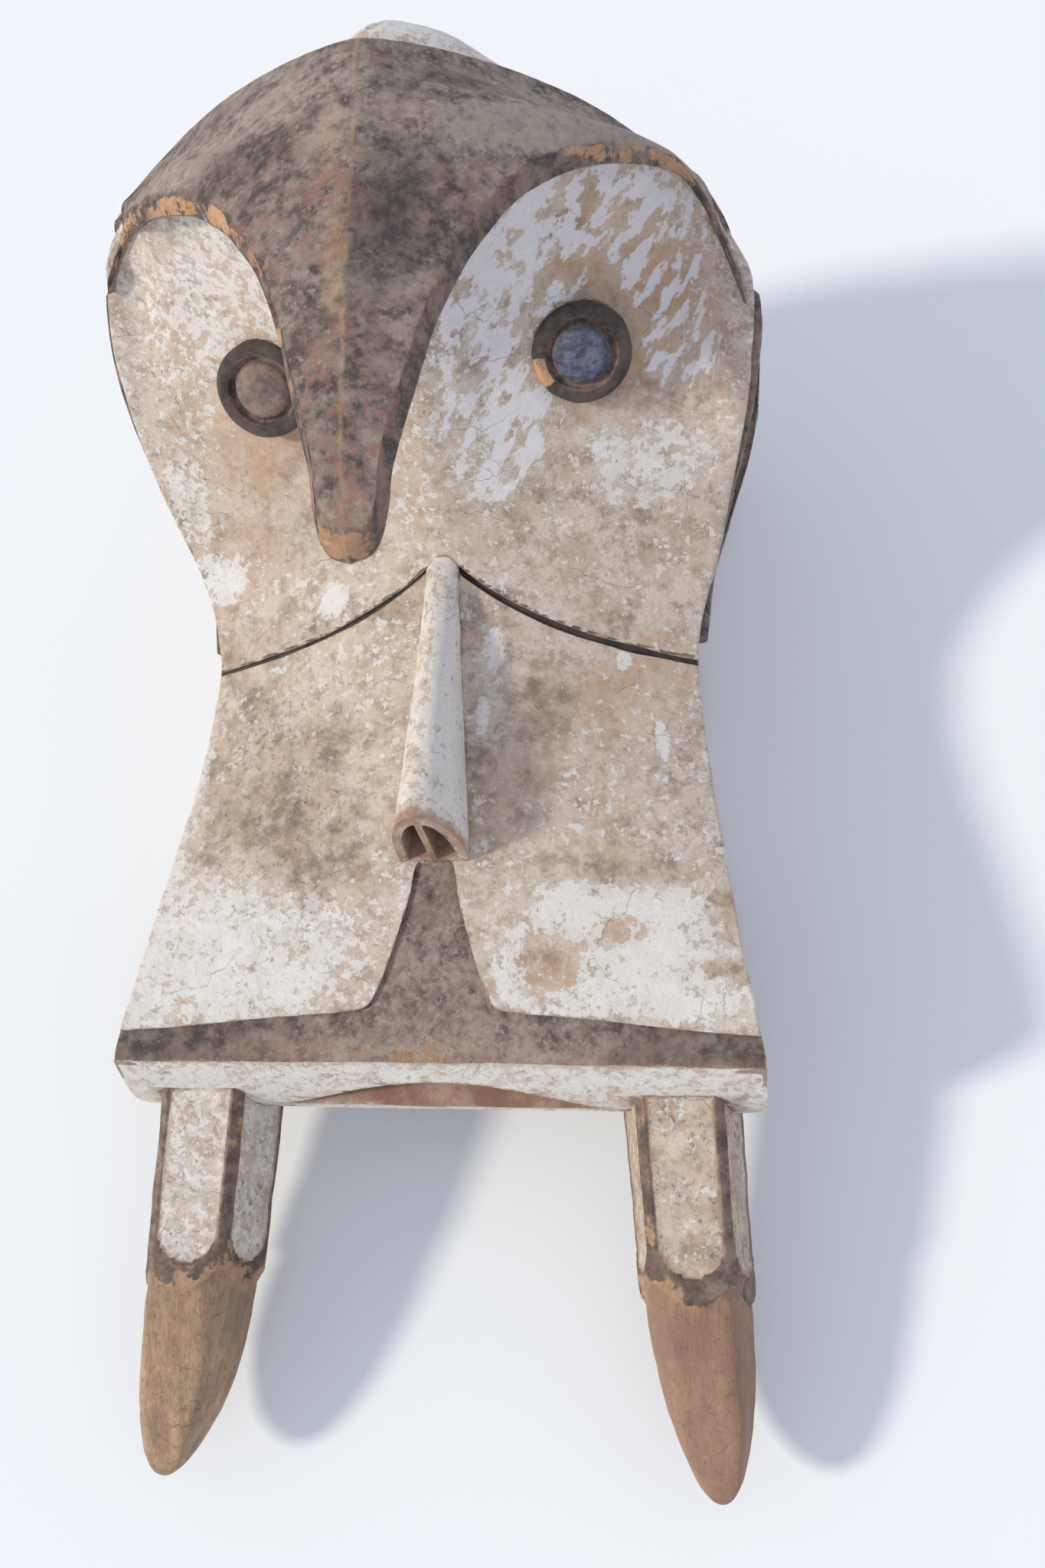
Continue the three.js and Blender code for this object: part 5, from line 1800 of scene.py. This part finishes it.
@dataclass(frozen=True)
class AgedPaint:
    """Old paint on carved wood: a ground, a flaking coat of white clay, dark paint, wear, soiling with
    painted shade, and cracks.
    """

    name: str
    ground_light: Colour = (0.48, 0.36, 0.265, 1)
    ground_dark: Colour = (0.28, 0.205, 0.155, 1)
    clay_warm: Colour = (0.68, 0.59, 0.50, 1)
    tan: Colour = (0.56, 0.42, 0.32, 1)
    # painted shade: the lavender white of clay in shade
    clay_in_shade: Colour = (0.80, 0.775, 0.80, 1)
    clay_white: Colour = (0.78, 0.745, 0.70, 1)
    soot_light: Colour = (0.25, 0.18, 0.148, 1)
    soot_dark: Colour = (0.072, 0.057, 0.056, 1)
    dust: Colour = (0.44, 0.36, 0.30, 1)
    black: Colour = (0.038, 0.034, 0.033, 1)
    rust: Colour = (0.58, 0.36, 0.21, 1)
    red: Colour = (0.31, 0.145, 0.11, 1)
    fresh: Colour = (0.70, 0.37, 0.165, 1)
    wood_light: Colour = (0.55, 0.36, 0.215, 1)
    wood_dark: Colour = (0.225, 0.145, 0.092, 1)
    navy_light: Colour = (0.155, 0.17, 0.25, 1)
    navy_dark: Colour = (0.055, 0.058, 0.08, 1)
    # colour of soiling, of painted shade in recesses and of the cracks
    dirt_and_shade: Colour = (0.19, 0.145, 0.112, 1)
    clay_coat: Coat = Coat(size=26, fine=1.0, edge=0.55)
    thick_coat: Coat = Coat(size=15.6, fine=1.5, edge=0.22)
    dust_coat: Coat = Coat(size=30, fine=1.6, edge=0.8)
    soot_coat: Coat = Coat(size=12, fine=0.7, edge=0.15)
    wear_coat: Coat = Coat(size=9, fine=0.6, edge=0.1)
    rusty: Patches = Patches(0.07, 5, 0.6, 0.3, 0.6, 0.3)
    veiled: Patches = Patches(0.6, 7, 0.75, 0.3, 0.54, 0.5)
    tanned: Patches = Patches(0.045, 9, 0.72, 0.45, 0.58)
    stained: Patches = Patches(0.16, 9, 0.82, 0.5, 0.57)
    chalky: Patches = Patches(0.35, 8, 0.75, 0.52, 0.7)
    rubbed: Patches = Patches(0.16, 6, 0.7, 0.4, 0.62, 0.25)
    reddish: Patches = Patches(0.13, 9, 0.75, 0.5, 0.58)
    bright: Patches = Patches(0.3, 6, 0.7, 0.38, 0.6, 0.1)
    shaded: Patches = Patches(0.035, 6, 0.65, 0.42, 0.64)
    filmy: Patches = Patches(0.11, 6, 0.7, 0.38, 0.62)
    matt: Patches = Patches(0.25, 5, 0.6, 0.3, 0.7, 0.7, 0.92)
    stroke_turn: float = math.radians(-52)
    crack_size: float = 26
    crack_width: float = 0.006
    bump_distance: float = 0.0009

    def build(self, effects: Effects) -> bpy.types.Material:
        """Make the material.

        Args:
            effects: the shared shader node groups.

        Returns:
            A material whose colour, roughness and bump follow the surface's layers.
        """
        material = bpy.data.materials.new(self.name)
        material.use_nodes = True
        material.node_tree.nodes.clear()
        graph = Graph(material.node_tree)
        coordinates = graph.node("TexCoord", {}).outputs["Object"]
        place = graph.node("VectorMath", {0: coordinates, 3: 1 / MM}, operation="SCALE").outputs[0]
        brush = Brush(graph, effects, place)
        clay, clay_mask = self.clay(brush)
        paint, soot_mask = self.soot(brush, clay)
        wood = graph.group(effects.wood, {"Vector": place, "Light": self.wood_light, "Dark": self.wood_dark})
        wear = brush.ragged(self.wear_coat, graph.times(graph.layer(Layer.WEAR), 1.3))
        colour = graph.mix(wear, paint, self.worn(brush, wood.outputs["Color"]))
        colour, dirt_and_shade_mask = self.dirt_and_shade_on(brush, colour)
        inputs = {"Vector": place, "Size": self.crack_size, "Width": self.crack_width}
        cracks = graph.group(effects.cracks, inputs)
        cracks = graph.times(cracks.outputs[0], graph.minus(0.45, graph.layer(Layer.SOOT), clamp=True))
        colour = graph.mix(graph.times(cracks, 0.22), colour, self.dirt_and_shade)
        grain = graph.times(wood.outputs["Height"], wear)
        height = self.height(brush, ((clay_mask, 0.3), (soot_mask, 0.12), (wear, -0.4), (grain, 0.6),
                                     (dirt_and_shade_mask, -0.1), (cracks, -0.5)))
        bump = graph.node("Bump", {"Height": height, "Distance": self.bump_distance, "Strength": 0.9})
        rough = graph.minus(brush.patches(self.matt), graph.times(wear, 0.16))
        rough = graph.minus(rough, graph.times(graph.layer(Layer.NAVY), 0.3), clamp=True)
        shader = graph.node("BsdfPrincipled", {"Base Color": colour, "Roughness": rough,
                                               "Normal": bump.outputs[0], "Specular IOR Level": 0.35})
        graph.node("OutputMaterial", {"Surface": shader.outputs[0]})
        return material

    def clay(self, brush: Brush) -> tuple[Socket, Socket]:
        """White clay over the brown ground, with thicker white patches, strokes tinted lavender as painted
        shade, and rusty stains.

        Args:
            brush: the material's graph and effects.

        Returns:
            The colour, and how much of the clay is there.
        """
        graph = brush.graph
        ground = brush.blend(self.ground_dark, self.ground_light, 13.0)
        rust = graph.times(graph.layer(Layer.RUST), brush.patches(self.rusty))
        ground = graph.mix(graph.times(rust, 0.8), ground, self.rust)
        ground = graph.mix(graph.layer(Layer.RED), ground, self.red)
        thin = graph.mix(graph.times(rust, 0.5), self.clay_warm, self.rust)
        bias = graph.times(graph.layer(Layer.CLAY), 1.2)
        cover = brush.ragged(self.clay_coat, bias)
        thick = brush.ragged(self.thick_coat, graph.minus(bias, 0.95))
        flecks = brush.speckle(4.5, graph.step(bias, -0.3, 0.9))
        thick = graph.math("MAXIMUM", thick, graph.times(flecks, 0.8))
        cool = graph.layer(Layer.COOL)
        inputs = {"Vector": brush.place, "Turn": self.stroke_turn, "Amount": cool}
        strokes = graph.group(brush.effects.strokes, inputs).outputs[0]
        strokes = graph.times(strokes, graph.step(cool, 0.02, 0.3))
        colour = graph.mix(graph.times(cover, brush.patches(self.veiled)), ground, thin)
        colour = graph.mix(graph.times(brush.patches(self.tanned), 0.55), colour, self.tan)
        colour = graph.mix(graph.times(brush.patches(self.stained), 0.6), colour, ground)
        colour = graph.mix(thick, colour, graph.mix(brush.patches(self.chalky), self.clay_white, thin))
        # painted shade: the strokes of white clay take the lavender white of clay in shade
        colour = graph.mix(graph.times(strokes, 0.85), colour, self.clay_in_shade)
        both = graph.math("MAXIMUM", thick, strokes)
        return colour, graph.plus(graph.times(cover, 0.5), graph.times(both, 0.5))

    def soot(self, brush: Brush, under: Socket) -> tuple[Socket, Socket]:
        """Dark paint over the clay, with dust, rubbed streaks and red flecks, and the paint of the pupils.

        Args:
            brush: the material's graph and effects.
            under: colour of the clay.

        Returns:
            The colour, and how much of the dark paint is there.
        """
        graph = brush.graph
        dark = brush.blend(self.soot_dark, self.soot_light, 9.0)
        dust = brush.ragged(self.dust_coat, graph.layer(Layer.CLAY))
        dark = graph.mix(graph.times(dust, 0.62), dark, self.dust)
        flecks = brush.speckle(3.2, graph.step(graph.layer(Layer.CLAY), -1.2, 0.8))
        dark = graph.mix(graph.times(flecks, 0.45), dark, self.dust)
        dark = graph.mix(graph.times(brush.patches(self.rubbed), graph.layer(Layer.RUST)), dark, self.rust)
        dark = graph.mix(graph.times(brush.patches(self.reddish), graph.layer(Layer.RED)), dark, self.red)
        dark = graph.mix(graph.layer(Layer.NAVY), dark, brush.blend(self.navy_dark, self.navy_light, 6.0))
        dark = graph.mix(graph.layer(Layer.BLACK), dark, self.black)
        mask = brush.ragged(self.soot_coat, graph.times(graph.layer(Layer.SOOT), 2.0))
        return graph.mix(mask, under, dark), mask

    def worn(self, brush: Brush, wood: Socket) -> Socket:
        """Bare wood, orange where it is freshly worn, reddened in places and darker in patches.

        Args:
            brush: the material's graph and effects.
            wood: colour of the wood.

        Returns:
            The colour.
        """
        graph = brush.graph
        worn = graph.mix(graph.times(graph.layer(Layer.FRESH), brush.patches(self.bright)), wood, self.fresh)
        worn = graph.mix(graph.times(graph.layer(Layer.RED), 0.6), worn, self.red)
        return graph.mix(graph.times(brush.patches(self.shaded), 0.35), worn, self.wood_dark)

    def dirt_and_shade_on(self, brush: Brush, under: Socket) -> tuple[Socket, Socket]:
        """Soiling and painted shade: a thin film and small dark spots, both by the darkening layer.

        Args:
            brush: the material's graph and effects.
            under: colour of what the dirt lies on.

        Returns:
            The colour, and how much darkening there is.
        """
        graph = brush.graph
        grime = graph.layer(Layer.GRIME)
        film = graph.times(grime, brush.patches(self.filmy))
        spots = graph.times(brush.speckle(2.6, graph.times(grime, 0.85)), 0.55)
        share = graph.plus(graph.times(film, 0.45), spots, clamp=True)
        return graph.mix(share, under, self.dirt_and_shade), share

    def height(self, brush: Brush, parts: Sequence[tuple[Socket, float]]) -> Socket:
        """Height for the bump: coats stand proud, worn wood and cracks lie lower, and all of it is gritty.

        Args:
            brush: the material's graph and effects.
            parts: masks, each with how far it stands proud, or lies lower where that is negative.

        Returns:
            The height.
        """
        graph = brush.graph
        total = graph.times(graph.noise(brush.place, 1.4, 6.0, 0.7), 0.35)
        total = graph.plus(total, graph.times(graph.noise(brush.place, 0.3, 4.0, 0.6), 0.45))
        for mask, amount in parts:
            total = graph.plus(total, graph.times(mask, amount))
        return total


@dataclass(frozen=True)
class CarvedMask:
    """The whole mask as one piece: every form joined to the block, and every hollow cut out of it."""

    sharp: float = math.radians(38)

    def build(self, effects: Effects) -> bpy.types.Object:
        """Join and cut the shells in the order of the carving, and dress the result.

        Args:
            effects: the shared shader node groups.

        Returns:
            The finished piece.
        """
        clay = AgedPaint("white clay on wood").build(effects)
        cutters = Cutters()
        back = BackOfHead().shell().build("back of head", clay)
        self.combine(back, [(Cut.REMOVE, Body().space_over_face().build("space over the face", clay))])
        body = Body().shell().build("block", clay)
        step = cutters.front_step().build("front step", clay)
        self.combine(body, [(Cut.JOIN, back), (Cut.REMOVE, step)])
        nose = Nose()
        joined = [carved.shell() for carved in (Brow(), nose, *EYES, *TUSKS, Ear(side=-1), Ear(side=1))]
        removed = [cutters.hollow(), cutters.mouth(), cutters.ground(), nose.nostril(-1), nose.nostril(1),
                   cutters.groove(-1), cutters.groove(1)]
        steps = [(Cut.JOIN, shell.build("joined", clay)) for shell in joined]
        steps += [(Cut.REMOVE, shell.build("removed", clay)) for shell in removed]
        self.combine(body, steps)
        body.name = "carved_mask"
        body.data.name = "carved_mask"
        body.data.shade_smooth()
        body.data.set_sharp_from_angle(angle=self.sharp)
        return body

    def combine(self, block: bpy.types.Object, steps: Sequence[tuple[Cut, bpy.types.Object]]) -> None:
        """Join or cut each object in turn, keep the result as the block's mesh, and delete the objects.

        Args:
            block: what is joined to and cut from; its mesh is replaced.
            steps: pairs of the kind of cut and the other object.
        """
        for cut, other in steps:
            modifier = block.modifiers.new(other.name, "BOOLEAN")
            modifier.object = other
            modifier.operation = cut.value
            modifier.solver = "MANIFOLD"
            modifier.material_mode = "TRANSFER"
        graph = bpy.context.evaluated_depsgraph_get()
        result = bpy.data.meshes.new_from_object(block.evaluated_get(graph))
        block.modifiers.clear()
        block.data = result
        for _, other in steps:
            bpy.data.objects.remove(other)


@dataclass(frozen=True)
class Studio:
    """Plain pale floor, soft light from the upper left, and the photograph's view."""

    floor_half: float = 4.0
    floor_colour: Colour = (0.83, 0.845, 0.86, 1)
    sky_colour: Colour = (0.80, 0.86, 1.0, 1)
    sky_strength: float = 0.79
    sun_colour: tuple[float, float, float] = (1.0, 0.95, 0.80)
    sun_strength: float = 2.1
    sun_angle: float = math.radians(7)
    sun_from: tuple[float, float, float] = (-0.76, -0.20, 0.62)
    camera_place: tuple[float, float, float] = (0.1282, -0.2151, 0.7049)
    camera_looks: tuple[float, float, float] = (-0.143, 0.334, -0.931)
    camera_up: tuple[float, float, float] = (0.014, 0.942, 0.336)
    lens: float = 35.64
    sensor_height: float = 36

    def build_floor(self) -> bpy.types.Object:
        """Flat floor under the mask.

        Returns:
            The floor, which is no piece of the mask.
        """
        half = self.floor_half
        mesh = bpy.data.meshes.new("floor")
        corners = [(-half, -half, 0), (half, -half, 0), (half, half, 0), (-half, half, 0)]
        mesh.from_pydata(corners, [], [(0, 1, 2, 3)])
        material = bpy.data.materials.new("floor paper")
        material.use_nodes = True
        graph = Graph(material.node_tree)
        place = graph.node("TexCoord", {}).outputs["Object"]
        pale = tuple(min(1.0, 1.04 * part) for part in self.floor_colour[:3]) + (1,)
        colour = graph.mix(graph.noise(place, 2.5, 3.0), self.floor_colour, pale)
        shader = material.node_tree.nodes["Principled BSDF"]
        material.node_tree.links.new(colour, shader.inputs["Base Color"])
        shader.inputs["Roughness"].default_value = 0.9
        shader.inputs["Specular IOR Level"].default_value = 0.2
        mesh.materials.append(material)
        floor = bpy.data.objects.new("floor", mesh)
        bpy.context.scene.collection.objects.link(floor)
        return floor

    def build_light(self) -> None:
        """A soft sun from the left and an even pale sky."""
        sun = bpy.data.lights.new("key", "SUN")
        sun.energy = self.sun_strength
        sun.angle = self.sun_angle
        sun.color = self.sun_colour
        lamp = bpy.data.objects.new("key", sun)
        lamp.rotation_euler = Vector(self.sun_from).to_track_quat("Z", "Y").to_euler()
        bpy.context.scene.collection.objects.link(lamp)
        world = bpy.data.worlds.new("studio")
        world.use_nodes = True
        background = world.node_tree.nodes["Background"]
        background.inputs["Color"].default_value = self.sky_colour
        background.inputs["Strength"].default_value = self.sky_strength
        bpy.context.scene.world = world

    def build_camera(self) -> None:
        """Camera at the photograph's place and angle."""
        camera = bpy.data.cameras.new("camera")
        camera.sensor_fit = "VERTICAL"
        camera.sensor_height = self.sensor_height
        camera.lens = self.lens
        camera.clip_start = 0.01
        back = -Vector(self.camera_looks).normalized()
        right = Vector(self.camera_up).cross(back).normalized()
        up = back.cross(right)
        turn = Matrix((right, up, back)).transposed().to_4x4()
        seen = bpy.data.objects.new("camera", camera)
        seen.matrix_world = Matrix.Translation(self.camera_place) @ turn
        bpy.context.scene.collection.objects.link(seen)
        bpy.context.scene.camera = seen


def main() -> None:
    """Build the studio and the mask, and say what rides on what."""
    logging.basicConfig(level=logging.INFO, format="%(name)s: %(message)s")
    bpy.context.scene.view_settings.view_transform = "Standard"
    studio = Studio()
    studio.build_camera()
    studio.build_light()
    studio.build_floor()
    log.info("studio: camera, light and floor")
    effects = Effects()
    mask = CarvedMask().build(effects)
    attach(mask, "root")
    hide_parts(NODE)
    log.info("%s: %d faces", mask.name, len(mask.data.polygons))


if __name__ == "__main__":
    main()
